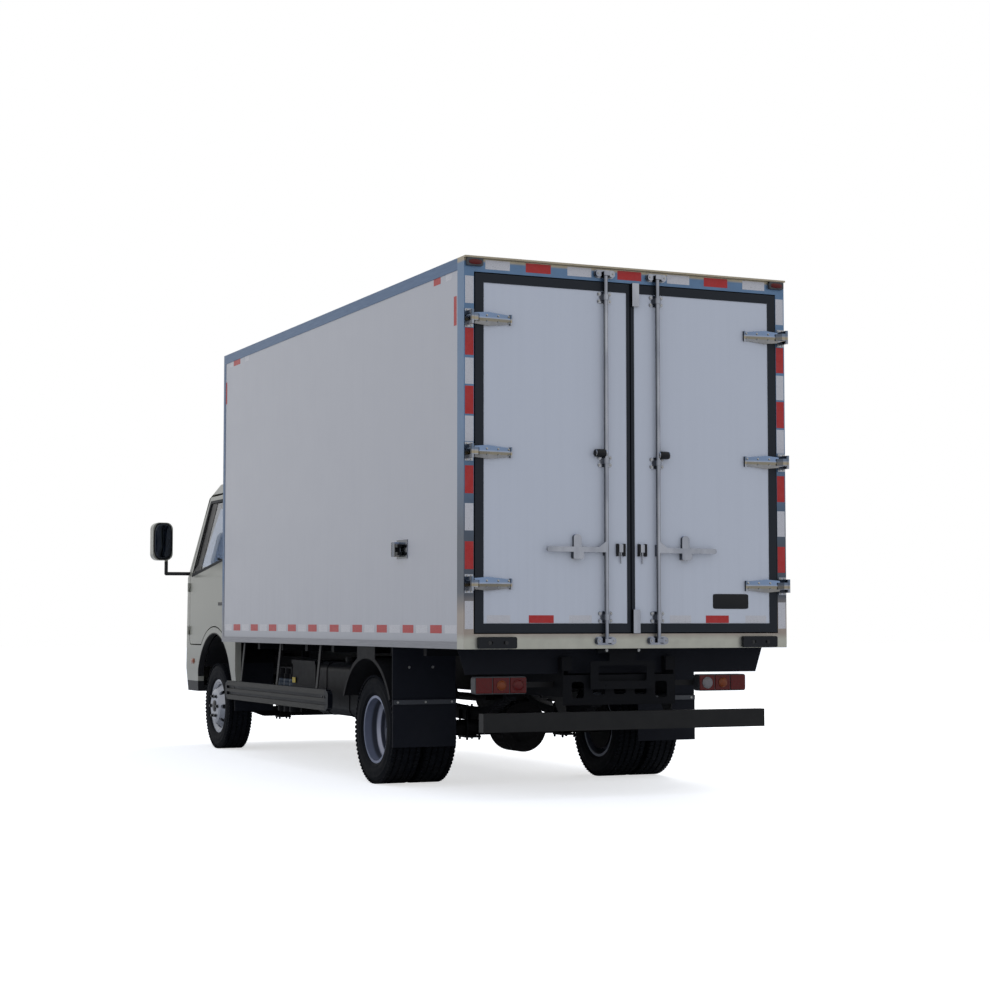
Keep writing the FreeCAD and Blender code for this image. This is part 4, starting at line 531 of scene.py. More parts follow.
# %% Glass, lenses and mirror
def glassy(name, colour, roughness):
    f = Finish(name, transmission_weight=1.0, ior=1.45)
    haze = f.noise(6.0, 5.0).between(0.45, 0.9)
    return f.set(base_color=f.mix(haze, colour, times(colour, 0.9)),
                 roughness=roughness + haze * 0.04)


FLUTES, RIBS = 420.0, 260.0


def headlamp_finish():
    f = Finish("headlamp_lens", metallic=0.85, coat_weight=1.0, coat_roughness=0.03)
    flutes = (f.axis("Y") * FLUTES).wave()
    shade = f.mix(flutes.between(-1, 1), (0.05, 0.052, 0.056), (0.16, 0.165, 0.17))
    return f.done(shade, 0.2 + flutes * 0.05, flutes, 0.4, 0.0015)


def lens(name, colour):
    """A moulded lens: a grid of small ribs under a gloss skin."""
    f = Finish(name, coat_weight=0.1, coat_roughness=0.06, specular_ior_level=0.2)
    turn = RIBS * 2 * math.pi
    ribs = (f.axis("Y") * turn).wave() * (f.axis("Z") * turn).wave()
    shade = f.mix(ribs.between(-0.6, 0.6), times(colour, 0.7), colour)
    return f.done(shade, 0.16 + ribs * 0.03, ribs, 0.25, 0.0006)


GLASS = glassy("cab_glass", (0.36, 0.42, 0.52), 0.02)
HEADLAMP = headlamp_finish()
REFLECTOR = plated("headlamp_reflector", (0.62, 0.64, 0.66), 0.08)
RED_LENS = lens("red_lens", (0.112, 0.0036, 0.003))
AMBER_LENS = lens("amber_lens", (0.22, 0.045, 0.007))
CLEAR_LENS = lens("clear_lens", (0.22, 0.2, 0.2))
MIRROR = plated("mirror_glass", (0.06, 0.07, 0.085), 0.04)
print("glass and lenses made")

# %% [markdown]
# Reflective tape is a film with a honeycomb of sealed cells. The cells are about 5 mm across,
# so from far away they only soften the colour. They come from a Voronoi pattern's edges.

# %% Reflective tape
def tape_finish(name, colour):
    f = Finish(name, roughness=0.4, specular_ior_level=0.25)
    cell = f.cells(190.0).between(0.02, 0.1)
    worn = f.noise(25.0).between(0.3, 0.8)
    shade = f.mix(cell, times(colour, 0.72), colour)
    shade = f.mix(worn * 0.05, shade, (0.45, 0.42, 0.42))
    return f.done(shade, 0.3 + worn * 0.15, cell, 0.2, 0.0003)


RED_TAPE = tape_finish("red_tape", (0.43, 0.02, 0.018))
WHITE_TAPE = tape_finish("white_tape", (0.57, 0.55, 0.55))
print("tape finishes made")

# %% [markdown]
# Tyre rubber is nearly black, with a grey bloom on it and dust near the ground. The seats are
# woven cloth, whose threads cross about every 5 mm.

# %% Tyre rubber and cloth
THREADS = 1300.0


def tyre_finish():
    f = Finish("tyre_rubber", specular_ior_level=0.05)
    bloom = f.noise(14.0, 6.0).between(0.3, 0.8)
    shade = f.mix(bloom, (0.004, 0.0045, 0.006), (0.0075, 0.0085, 0.011))
    low = (1 - f.axis("Z").between(0.0, 0.25)) * f.noise(20.0, 6.0).between(0.4, 0.7)
    shade = f.mix(low * 0.06, shade, DUST)
    return f.done(shade, 0.62 + bloom * 0.2, f.noise(500.0, 3.0), 0.2, 0.0005)


def cloth_finish():
    f = Finish("seat_cloth", sheen_weight=0.3, sheen_roughness=0.5)
    across, up = f.axis("Y") * THREADS, f.axis("Z") * THREADS + f.axis("X") * THREADS
    weave = across.wave() * up.wave()
    shade = f.mix(f.noise(30.0), (0.03, 0.032, 0.036), (0.05, 0.053, 0.06))
    shade = f.mix(weave.between(0.2, 0.9) * 0.3, shade, (0.085, 0.09, 0.1))
    return f.done(shade, 0.85 + weave * 0.05, weave, 0.4, 0.0005)


TYRE = tyre_finish()
CLOTH = cloth_finish()
print("tyre rubber and cloth made")

# %% [markdown]
# Each CAD node now gets its finish. A CAD mesh is never changed; only its material slot is.

# %% Finishes of the CAD nodes
NAMES_OF = (
    (PANEL, "box_floor box_roof box_front_wall left_cargo_door right_cargo_door"),
    (SHADED_WALL, "box_left_wall box_right_wall"), (EDGE, "box_edge_rails"), (REAR_FRAME, "rear_frame"),
    (CHROME, "frame_fittings left_cargo_door_fittings right_cargo_door_fittings"),
    (SEAL, "left_cargo_door_seal right_cargo_door_seal"), (RUBBER, "rubber_buffers"),
    (UNIT_SHELL, "cooling_unit"), (CHASSIS, "frame_rails box_subframe leaf_springs plate_bracket"),
    (CAST, "front_axle rear_axle left_knuckle right_knuckle engine_block exhaust"),
    (TANK, "fuel_tank battery_box"), (GUARD_PLASTIC, "rear_fenders front_liners"),
    (FLAP, "mud_flaps"), (GUARD, "side_guards"), (UNDERRUN, "underrun_bar"),
    (VALANCE, "rear_valance"), (TRIM, "rear_lamps dashboard"), (CAB, "cab_shell"),
    (DOOR_PAINT, "left_cab_door right_cab_door"), (BUMPER, "front_bumper"),
    (MIRROR_CASE, "mirrors"), (HEADLAMP, "headlamps"), (CLOTH, "seats"),
    (GLASS, "windscreen left_cab_door_glass right_cab_door_glass"),
    (WHEEL, "front_left_rim front_right_rim"), (REAR_WHEEL, "rear_left_rims rear_right_rims"),
    (TYRE, "front_left_tyre front_right_tyre rear_left_tyres rear_right_tyres"),
)
finish_of = {name: finish for finish, names in NAMES_OF for name in names.split()}
for name, node in nodes.items():
    node.data.materials.clear()
    node.data.materials.append(finish_of[name])
print("finishes on", len(nodes), "nodes")

# %% [markdown]
# Four helpers make the new pieces, all of them at the origin. `solid` builds a mesh, rounds its
# edges if it is asked to, and turns its faces outward. `show` puts a mesh in the scene, on a
# body. `piece` does both. `loft` lays a skin over rings of points, and with it are made the
# tyres, lenses, gaskets and wipers.

# %% Making pieces
def solid(name, verts, faces, finish=None, edge=0.0):
    mesh = bpy.data.meshes.new(name)
    mesh.from_pydata([tuple(v) for v in verts], [], faces)
    work = bmesh.new()
    work.from_mesh(mesh)
    if edge:
        bmesh.ops.bevel(work, geom=work.edges[:], offset=edge, segments=2, affect="EDGES",
                        profile=0.6)
    bmesh.ops.recalc_face_normals(work, faces=work.faces)
    work.to_mesh(mesh)
    work.free()
    if finish:
        mesh.materials.append(finish)
    return mesh


def show(name, mesh, body):
    item = bpy.data.objects.new(name, mesh)
    bpy.context.scene.collection.objects.link(item)
    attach(item, body)
    return item


def piece(name, verts, faces, finish, body, slot, smooth=False):
    mesh = solid(name, verts, faces, finish)
    if smooth:
        mesh.shade_smooth()
    return show(name, mesh, body)


def loft(name, rings, finish, body, slot, closed=True, smooth=True):
    """A skin over rings of points: round in a circle, or with a cap on both ends."""
    size, count = len(rings[0]), len(rings)
    faces = []
    for i in range(count if closed else count - 1):
        here, there = i * size, (i + 1) % count * size
        for j in range(size):
            k = (j + 1) % size
            faces.append((here + j, there + j, there + k, here + k))
    if not closed:
        faces += [tuple(range(size)), tuple(range(count * size - 1, (count - 1) * size - 1, -1))]
    return piece(name, [v for ring in rings for v in ring], faces, finish, body, slot, smooth)


BOX_FACES = ((0, 1, 3, 2), (4, 6, 7, 5), (0, 4, 5, 1), (2, 3, 7, 6), (0, 2, 6, 4), (1, 5, 7, 3))


def box_mesh(boxes):
    """Points and faces of boxes, each given as x0, x1, y0, y1, z0, z1."""
    verts, faces = [], []
    for x0, x1, y0, y1, z0, z1 in boxes:
        n = len(verts)
        verts += [(x, y, z) for x in (x0, x1) for y in (y0, y1) for z in (z0, z1)]
        faces += [tuple(n + i for i in face) for face in BOX_FACES]
    return verts, faces


def mirrored_box(sign, x0, x1, y0, y1, z0, z1):
    """A box on the left side for sign 1, and its mirror image for sign -1."""
    return (x0, x1, *sorted((sign * y0, sign * y1)), z0, z1)


def blocks(name, boxes, edge, finish, body):
    """Boxes in one mesh, with their edges rounded, so that none looks cut from card."""
    return show(name, solid(name, *box_mesh(boxes), finish, edge), body)


print("piece helpers ready")

# %% [markdown]
# The truck wears strips of reflective tape, red and white in turn, each about 150 by 50 mm. On
# the rear they sit on the posts, the header and the doors' lower edges. They are plain thin
# solids: 0.4 mm thick, so they cast a hairline shadow at their edges as real tape does.

# %% Reflective tape on the rear
TAPE, TAPE_WIDTH, TAPE_GAP = 0.0004, 0.05, 0.003
POST_TAPES = (("white", 0.104, 0.253), ("red", 0.422, 0.57), ("white", 0.628, 0.773),
              ("red", 0.826, 0.975), ("white", 1.104, 1.241), ("red", 1.251, 1.402),
              ("white", 1.412, 1.553), ("red", 1.568, 1.714), ("white", 1.847, 1.995))
HEADER_TAPES = (("white", 0.122, 0.267), ("red", 0.362, 0.513), ("white", 0.614, 0.761),
                ("red", 0.923, 1.073), ("white", 1.236, 1.38), ("red", 1.474, 1.628),
                ("white", 1.727, 1.873))
DOOR_TAPES = (("white", 0.131, 0.269), ("red", 0.378, 0.527), ("white", 0.621, 0.757))
HEADER_Z, DOOR_Z = (2.037, 2.087), (0.136, 0.178)
tape_of = {"red": RED_TAPE, "white": WHITE_TAPE}


def tapes(name, kind, boxes, body):
    slot = "lamp_lens" if kind == "red" else "box_panel"
    piece(name, *box_mesh(boxes), tape_of[kind], body, slot)


def rear_tape(y0, y1, z0, z1):
    return (REAR - TAPE, REAR, *sorted((y0, y1)), BOX_LOW + z0, BOX_LOW + z1)


for kind in tape_of:
    boxes = [rear_tape(y, y + TAPE_WIDTH, low, high) for shade, low, high in POST_TAPES
             if shade == kind for y in (HALF - TAPE_GAP - TAPE_WIDTH, TAPE_GAP - HALF)]
    boxes += [rear_tape(HALF - high, HALF - low, *HEADER_Z) for shade, low, high in HEADER_TAPES
              if shade == kind]
    tapes(kind + "_tape_rear", kind, boxes, "chassis")
    for side, sign in SIDES:
        boxes = [rear_tape(sign * (HALF - low), sign * (HALF - high), *DOOR_Z)
                 for shade, low, high in DOOR_TAPES if shade == kind]
        tapes("%s_tape_%s_door" % (kind, side), kind, boxes, "cargo_door_" + side)
print("rear tapes made")

# %% [markdown]
# Along each side a row of tapes runs low on the wall at an even pitch, the white ones half a
# pitch behind the red. A few more mark the upper corners, flat along the roof and upright.

# %% Reflective tape along the sides
SIDE_PITCH, SIDE_COUNT, SIDE_START, SIDE_LENGTH = 0.414, 10, 0.390, 0.165
SIDE_Z, TOP_Z, UPRIGHT_Z = (0.08, 0.125), (2.0, 2.045), (1.74, 1.9)
TOP_TAPES = {"red": ((0.332, 0.431), (4.085, 4.245)),
             "white": ((0.176, 0.258), (3.865, 3.965), (4.27, 4.33))}
UPRIGHTS, UPRIGHT_HALF = (0.126, 4.425), 0.019


def side_tape(sign, x0, x1, heights):
    return mirrored_box(sign, REAR + x0, REAR + x1, HALF, HALF + TAPE,
                        *(BOX_LOW + z for z in heights))


for kind in tape_of:
    boxes = []
    for _, sign in SIDES:
        shift = 0 if kind == "red" else -SIDE_PITCH / 2
        for i in range(SIDE_COUNT + (kind == "white")):
            x = SIDE_START + i * SIDE_PITCH + shift
            boxes.append(side_tape(sign, x - SIDE_LENGTH / 2, x + SIDE_LENGTH / 2, SIDE_Z))
        boxes += [side_tape(sign, start, end, TOP_Z) for start, end in TOP_TAPES[kind]]
        if kind == "red":
            boxes += [side_tape(sign, x - UPRIGHT_HALF, x + UPRIGHT_HALF, UPRIGHT_Z)
                      for x in UPRIGHTS]
    tapes(kind + "_tape_sides", kind, boxes, "chassis")
print("side tapes made")

# %% [markdown]
# Bolts, nuts and rivets repeat by the hundred, so Geometry Nodes make them. The tree takes a
# cloud of points, each with the direction that its bolt faces, and puts a hexagonal head on a
# round washer at each. The same tree with other numbers gives the wheel nuts.

# %% A tree for fasteners
def geometry_tree(name, inputs):
    """A new geometry tree, and its inputs as wires by name. Each input has a kind."""
    tree = bpy.data.node_groups.new(name, "GeometryNodeTree")
    for title, kind in inputs.items():
        tree.interface.new_socket(title, in_out="INPUT", socket_type="NodeSocket" + kind)
    tree.interface.new_socket("Result", in_out="OUTPUT", socket_type="NodeSocketGeometry")
    g = Nodes(tree)
    given = tree.nodes.new("NodeGroupInput")
    return g, {title: Wire(g, given.outputs[title]) for title in inputs}


def close(g, shape, finish):
    """Gives the shape its finish and ends the tree with it."""
    done = g.add("GeometryNodeSetMaterial", {"Geometry": shape, "Material": finish})
    g.end("NodeGroupOutput", 0, done)
    return g.tree


HEAD_SIDES, WASHER_SIDES = 6, 14


def fastener_tree():
    g, given = geometry_tree("fasteners", {
        "Points": "Geometry", "Head radius": "Float", "Head height": "Float",
        "Washer radius": "Float", "Washer height": "Float", "Finish": "Material"})

    def standing(sides, radius, height, centre):
        disc = g.add("GeometryNodeMeshCylinder", {"Vertices": sides, "Radius": radius,
                                                  "Depth": height})
        up = g.add("ShaderNodeCombineXYZ", {2: centre})
        return g.add("GeometryNodeTransform", {"Geometry": disc, "Translation": up})

    head_height, washer_height = given["Head height"], given["Washer height"]
    head = standing(HEAD_SIDES, given["Head radius"], head_height, washer_height + head_height / 2)
    washer = standing(WASHER_SIDES, given["Washer radius"], washer_height, washer_height / 2)
    both = g.add("GeometryNodeJoinGeometry", {0: [head, washer]})
    facing = g.add("GeometryNodeInputNamedAttribute", {"Name": "facing"}, data_type="FLOAT_VECTOR")
    turn = g.add("FunctionNodeAlignRotationToVector", {"Vector": facing}, axis="Z")
    placed = g.add("GeometryNodeInstanceOnPoints", {"Points": given["Points"], "Instance": both,
                                                    "Rotation": turn})
    real = g.add("GeometryNodeRealizeInstances", {0: placed})
    return close(g, real, given["Finish"])


def grow(name, tree, values, body, mesh):
    """Runs a tree on a mesh and keeps the result as a plain mesh that rides on a body."""
    maker = bpy.data.objects.new(name + "_maker", mesh)
    bpy.context.scene.collection.objects.link(maker)
    modifier = maker.modifiers.new("nodes", "NODES")
    modifier.node_group = tree
    for item in tree.interface.items_tree:
        if item.in_out == "INPUT" and item.name in values:
            modifier[item.identifier] = values[item.name]
    graph = bpy.context.evaluated_depsgraph_get()
    made = bpy.data.meshes.new_from_object(maker.evaluated_get(graph))
    bpy.data.objects.remove(maker)
    made.name = name
    return show(name, made, body)


FASTENERS = fastener_tree()


def fasteners(name, places, body, finish, radius, height, washer=1.3):
    """A fastener at each place with its direction; washer is the washer's share of the radius."""
    mesh = bpy.data.meshes.new(name + "_points")
    mesh.from_pydata([tuple(place) for place, _ in places], [], [])
    facing = mesh.attributes.new("facing", "FLOAT_VECTOR", "POINT")
    facing.data.foreach_set("vector", [c for _, normal in places for c in normal])
    values = {"Head radius": radius, "Head height": height, "Washer radius": radius * washer,
              "Washer height": height * 0.25, "Finish": finish}
    grow(name, FASTENERS, values, body, mesh)
    print(name, len(places), "fasteners")


# %% [markdown]
# Fasteners of the rear doors: four on each hinge plate, two rows of three along each strap, two
# on each side of a rod guide, and two on each keeper plate.

# %% Bolts of the cargo doors
PIN_Y = 0.02
for side, sign in SIDES:
    fittings = side + "_cargo_door_fittings"
    on_frame = [from_behind("frame_fittings", sign * (HALF - y), BOX_LOW + z + dz)
                for z in HINGE_Z for y in (0.013, 0.038) for dz in (0.042, -0.042)]
    on_door = [from_behind(fittings, sign * (HALF - PIN_Y - reach), BOX_LOW + z + dz)
               for z in HINGE_Z for reach in (0.1, 0.17, 0.235) for dz in (-0.016, 0.016)]
    on_door += [from_behind(fittings, sign * (ROD_Y + dy), BOX_LOW + z + dz)
                for z in GUIDE_Z for dy in (-0.034, 0.034) for dz in (-0.02, 0.02)]
    on_frame += [from_behind("frame_fittings", sign * (ROD_Y + dy), BOX_LOW + z)
                 for z in KEEPER_Z for dy in (-0.045, 0.045)]
    fasteners(side + "_door_bolts", on_door, "cargo_door_" + side, BOLT, 0.0048,
              0.0035)
    fasteners(side + "_frame_bolts", on_frame, "chassis", BOLT, 0.0045, 0.003)

# %% [markdown]
# A wheel has six nuts on studs. The ray from outside finds the disc at the right depth, also on
# the twin rear wheels, whose discs are dished inward.

# %% Wheel nuts
NUTS, NUT_CIRCLE, NUT_R, NUT_WASHER = 6, 0.083, 0.0105, 0.014
for end, x in (("front", FRONT_AXLE), ("rear", REAR_AXLE)):
    for side, sign in SIDES:
        node = "%s_%s_%s" % (end, side, "rim" if end == "front" else "rims")
        body = ("wheel_front_" if end == "front" else "wheels_rear_") + side
        turns = [2 * math.pi * (i + 0.5) / NUTS for i in range(NUTS)]
        places = [from_side(node, sign, x + NUT_CIRCLE * math.sin(turn),
                            AXLE_Z + NUT_CIRCLE * math.cos(turn)) for turn in turns]
        fasteners(node + "_nuts", places, body, DARK_BOLT, NUT_R, 0.014,
                  NUT_WASHER / NUT_R)

# %% [markdown]
# A tyre is a turned carcass with ribs of tread on it. The carcass is one closed ring, turned
# from a profile with a shoulder, a bulging sidewall, two raised rings and a bead. Its points are
# depths below the tread and distances from the tyre's middle plane.

# %% Tyre carcass
TYRE_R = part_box("front_left_tyre")[1].z - AXLE_Z
TYRE_HALF = (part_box("front_left_tyre")[1].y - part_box("front_left_tyre")[0].y) / 2
GROOVE = 0.009
SIDEWALL = ((GROOVE, 0.0), (GROOVE + 0.001, 0.045), (GROOVE + 0.002, 0.072), (0.012, 0.083),
            (0.022, 0.0885), (0.034, 0.0915), (0.036, 0.0935), (0.042, 0.094), (0.046, 0.0925),
            (0.06, TYRE_HALF - 0.0015), (0.072, TYRE_HALF - 0.0005), (0.086, TYRE_HALF - 0.002),
            (0.1, 0.0905), (0.103, 0.0915), (0.107, 0.0905), (0.112, 0.086), (0.12, 0.079),
            (0.126, 0.0755))
half_profile = [(TYRE_R - depth, y) for depth, y in SIDEWALL]
profile = half_profile + [(r, -y) for r, y in reversed(half_profile[1:])]


def turned(name, profile, centre, finish, body, slot, axis="Y", steps=96):
    """A closed profile of radii and heights, turned about the Y or the Z axis through centre."""
    rings = []
    for i in range(steps):
        turn = 2 * math.pi * i / steps
        s, c = math.sin(turn), math.cos(turn)
        rings.append([(centre[0] + r * s, centre[1] + h, centre[2] + r * c) if axis == "Y" else
                      (centre[0] + r * c, centre[1] + r * s, centre[2] + h) for r, h in profile])
    return loft(name, rings, finish, body, slot)


print("tyre profile has", len(profile), "points")

# %% [markdown]
# The tread is a single pitch of five blocks in a slight zigzag, and Geometry Nodes repeat it
# round the wheel. A block is a tapered box: narrower at the top, with a thin sipe between it and
# the next, wider in the two outer rows.

# %% Tread
PITCHES = 72
ROWS = ((-0.0775, 0.026), (-0.0405, 0.03), (0.0, 0.032), (0.0405, 0.03), (0.0775, 0.026))
SKEW, OUTER_SIPE, SIPE, TAPER, ROOT = 0.003, 0.0016, 0.0004, 0.0012, 0.003
BLOCK_FACES = ((6, 7, 9, 8), (8, 9, 11, 10), (0, 2, 3, 1), (2, 4, 5, 3), (0, 1, 7, 6),
               (4, 10, 11, 5), (0, 6, 8, 2), (2, 8, 10, 4), (1, 3, 9, 7), (3, 5, 11, 9))


def tread_pitch():
    """One pitch at the top of the wheel, standing on z = 0, along x."""
    verts, faces = [], []
    length = 2 * math.pi * (TYRE_R - GROOVE) / PITCHES
    for row, (y, width) in enumerate(ROWS):
        n = len(verts)
        skew = SKEW * (-1) ** row
        end = length / 2 - (OUTER_SIPE if row in (0, len(ROWS) - 1) else SIPE)
        for z, trim in ((-ROOT, 0.0), (GROOVE - 0.0004, TAPER)):
            for x, push in ((-end, -skew), (0, skew), (end, -skew)):
                verts += [(x, y + push + edge * (width / 2 - trim), z) for edge in (-1, 1)]
        faces += [tuple(n + i for i in f) for f in BLOCK_FACES]
    return solid("tread_pitch", verts, faces)


def ring_tree():
    g, given = geometry_tree("ring", {"Pitch": "Geometry", "Count": "Int", "Radius": "Float",
                                      "Centre": "Vector", "Finish": "Material"})
    circle = g.add("GeometryNodeMeshCircle", {"Vertices": given["Count"],
                                              "Radius": given["Radius"]})
    standing = g.add("GeometryNodeTransform", {"Geometry": circle,
                                               "Rotation": (math.pi / 2, 0, 0)})
    away = g.add("GeometryNodeInputPosition")
    turn = g.add("FunctionNodeAxesToRotation", {"Primary Axis": away,
                                                "Secondary Axis": (0.0, 1.0, 0.0)},
                 primary_axis="Z", secondary_axis="Y")
    placed = g.add("GeometryNodeInstanceOnPoints", {"Points": standing, "Rotation": turn,
                                                    "Instance": given["Pitch"]})
    real = g.add("GeometryNodeRealizeInstances", {0: placed})
    moved = g.add("GeometryNodeTransform", {"Geometry": real, "Translation": given["Centre"]})
    return close(g, moved, given["Finish"])


RING = ring_tree()


def join(name, items):
    """Joins pieces into the first of them."""
    with bpy.context.temp_override(active_object=items[0], selected_editable_objects=items):
        bpy.ops.object.join()
    items[0].name = name
    items[0].data.name = name
    return items[0]


def dressed_tyre(name, centre, body):
    carcass = turned(name + "_carcass", profile, centre, TYRE, body, "tyre")
    values = {"Count": PITCHES, "Radius": TYRE_R - GROOVE, "Centre": centre, "Finish": TYRE}
    tread = grow(name + "_tread", RING, values, body, tread_pitch())
    return join(name, [carcass, tread])


for side, sign in SIDES:
    node = "front_%s_tyre" % side
    tyre = dressed_tyre("front_%s_treaded" % side, tuple(middle(node)), "wheel_front_" + side)
    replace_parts(tyre, node)
    node = "rear_%s_tyres" % side
    low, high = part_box(node)
    pair = [dressed_tyre("rear_%s_%d" % (side, round(abs(y) * 1000)), (REAR_AXLE, y, AXLE_Z),
                         "wheels_rear_" + side) for y in (low.y + TYRE_HALF, high.y - TYRE_HALF)]
    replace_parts(join("rear_%s_treaded" % side, pair), node)
print("tyres dressed, radius", round(TYRE_R, 4))

# %% [markdown]
# A tail lamp has three compartments under one red moulding: a square reflector outside, a round
# amber turn signal in the middle and a round lamp inside, red on the left and clear for
# reversing on the right. Each round is a turned dome with a stepped rim. The same dome, squeezed
# to an oval, makes the marker lamps, the mirror glasses and the hubs.

# %% Tail lamps and marker lamps
RINGS = ((1.0, 0.0), (1.0, 0.35), (0.93, 0.45), (0.9, 0.3), (0.86, 0.5), (0.7, 0.78),
         (0.45, 0.94), (0.2, 1.0))
PLATE = ((1.0, 0.0), (1.0, 0.6), (0.985, 0.92), (0.96, 1.0))


def dome(name, centre, radii, rise, finish, body, slot, out=(-1, 0, 0), power=2.0, steps=40,
         rings=RINGS):
    """A lens that bulges along out from a flat plane. Each of rings is a share of the radii and
    a share of the rise. A power above 2 squares the outline."""
    out, up = Vector(out), Vector((0, 0, 1))
    across = Vector((0, 1, 0)) if abs(out.x) > 0.5 else Vector((1, 0, 0))
    skin = []
    for share, lift in rings:
        ring = []
        for i in range(steps):
            turn = 2 * math.pi * i / steps
            c, s = math.cos(turn), math.sin(turn)
            u = math.copysign(abs(c) ** (2 / power), c) * radii[0] * share
            v = math.copysign(abs(s) ** (2 / power), s) * radii[1] * share
            ring.append(Vector(centre) + out * (rise * lift) + across * u + up * v)
        skin.append(ring)
    return loft(name, skin, finish, body, slot, closed=False)


LAMP_Y, LAMP_Z, LAMP_FACE = (0.5425, 0.8475), (0.57, 0.664), REAR + 0.2
LENS_OUT, LENS_IN = LAMP_FACE - 0.006, LAMP_FACE + 0.01
third = (LAMP_Y[1] - LAMP_Y[0]) / 3
for side, sign in SIDES:
    cells = [mirrored_box(sign, LENS_OUT, LENS_IN, LAMP_Y[0] + third * i + 0.003,
                          LAMP_Y[0] + third * (i + 1) - 0.003, LAMP_Z[0] + 0.005,
                          LAMP_Z[1] - 0.005) for i in range(3)]
    blocks(side + "_tail_moulding", cells, 0.003, RED_LENS, "chassis")
    inner = CLEAR_LENS if side == "right" else RED_LENS
    for i, (radius, finish) in enumerate(((0.033, inner), (0.028, AMBER_LENS))):
        centre = (LENS_OUT, sign * (LAMP_Y[0] + third * (i + 0.5)), sum(LAMP_Z) / 2)
        dome("%s_tail_lens_%d" % (side, i), centre, (radius, radius), 0.01, finish, "chassis",
             "lamp_lens")
    dome(side + "_marker_lens", (REAR - 0.018, sign * 0.944, BOX_HIGH - 0.03), (0.037, 0.0135),
         0.006, RED_LENS, "chassis", "lamp_lens", power=2.6)
print("tail and marker lamps made")

# %% [markdown]
# The lock gear's small parts: black sleeves on the two knobs, black side plates on the two
# spring latches, and one black name plate on the right door, which stays blank here.

# %% Knob sleeves, latch plates and the blank plate
SLEEVE = ((0.012, 0.006), (0.0195, 0.006), (0.0212, 0.009), (0.0218, 0.03), (0.0212, 0.062),
          (0.0185, 0.0685), (0.012, 0.0705), (0.0006, 0.071), (0.0006, 0.069))
KNOB_Z, LATCH_Z = 1.066, (0.502, 0.571)
for side, sign in SIDES:
    body = "cargo_door_" + side
    turned(side + "_knob_sleeve", [(r, sign * y) for r, y in SLEEVE],
           (REAR - 0.022, sign * ROD_Y, BOX_LOW + KNOB_Z), KNOB, body, "black_rubber", steps=32)
    blocks(side + "_latch_sides",
           [mirrored_box(sign, REAR - 0.019, REAR, y, y + 0.011, BOX_LOW + LATCH_Z[0],
                         BOX_LOW + LATCH_Z[1]) for y in (0.0405, 0.0825)],
           0.002, KNOB, body)
dome("blank_plate", (REAR, -0.6345, BOX_LOW + 0.257), (0.1155, 0.042), 0.002, BLANK,
     "cargo_door_right", "black_rubber", power=12.0, steps=64, rings=PLATE)
print("small parts of the lock gear made")

# %% [markdown]
# More fasteners. Two hold each rubber buffer, two the number plate's bracket, three each mud
# flap's strip, two each splash panel and four each side guard. The strip itself is a lighter
# grey than the flap.

# %% Bolts under the box
FLAP_BACK, STRIP_Y, STRIP_Z = REAR_AXLE - 0.451, (0.606, 0.993), (0.486, 0.512)
GUARD_Z = 0.487
GUARD_BOLTS = (REAR_AXLE + 0.80, REAR_AXLE + 0.835, BOX_FRONT - 0.2, BOX_FRONT - 0.235)
for side, sign in SIDES:
    spots = [from_behind("rubber_buffers", sign * y, BOX_LOW + 0.03) for y in (0.765, 0.863)]
    fasteners(side + "_buffer_bolts", spots, "chassis", DARK_BOLT, 0.009, 0.003)
    blocks(side + "_flap_strip", [mirrored_box(sign, FLAP_BACK - 0.0025, FLAP_BACK, *STRIP_Y,
                                               *STRIP_Z)], 0.0008, STRIP, "chassis")
    spots = [from_behind("mud_flaps", sign * y, sum(STRIP_Z) / 2) for y in (0.631, 0.796, 0.969)]
    fasteners(side + "_strip_bolts", spots, "chassis", BOLT, 0.007, 0.004)
    spots = [from_behind("mud_flaps", sign * y, 0.7) for y in (0.746, 0.893)]
    fasteners(side + "_splash_bolts", spots, "chassis", BOLT, 0.006, 0.004)
    spots = [from_side("side_guards", sign, x, GUARD_Z) for x in GUARD_BOLTS]
    fasteners(side + "_guard_bolts", spots, "chassis", DARK_BOLT, 0.0075, 0.003)
spots = [from_behind("plate_bracket", y, BOX_LOW - 0.014) for y in (-0.1, 0.1)]
fasteners("bracket_bolts", spots, "chassis", BOLT, 0.007, 0.004)

# %% [markdown]
# Small things along the sides. The catch that holds an open cargo door has a jaw of black
# plastic. The three canisters by the battery box have ribbed sleeves, and the patch on the box is
# plain yellow, since what it said is left off.

# %% Catch jaws, canister sleeves and the blank patch
JAW_X, JAW_Y, JAW_Z, JAW_THICK = (0.872, 0.925), (1.008, 1.0385), (0.522, 0.566), 0.018
for side, sign in SIDES:
    jaw = [mirrored_box(sign, REAR + JAW_X[0], REAR + JAW_X[1], *JAW_Y, BOX_LOW + z,
                        BOX_LOW + z + JAW_THICK) for z in JAW_Z]
    jaw.append(mirrored_box(sign, REAR + JAW_X[1] - 0.013, REAR + JAW_X[1], *JAW_Y,
                            BOX_LOW + JAW_Z[0], BOX_LOW + JAW_Z[1] + JAW_THICK))
    blocks(side + "_catch_jaw", jaw, 0.003, KNOB, "chassis")
blocks("blank_patch", [(0.735, 0.8, 0.686, 0.6895, 0.535, 0.572)], 0.0012, YELLOW, "chassis")

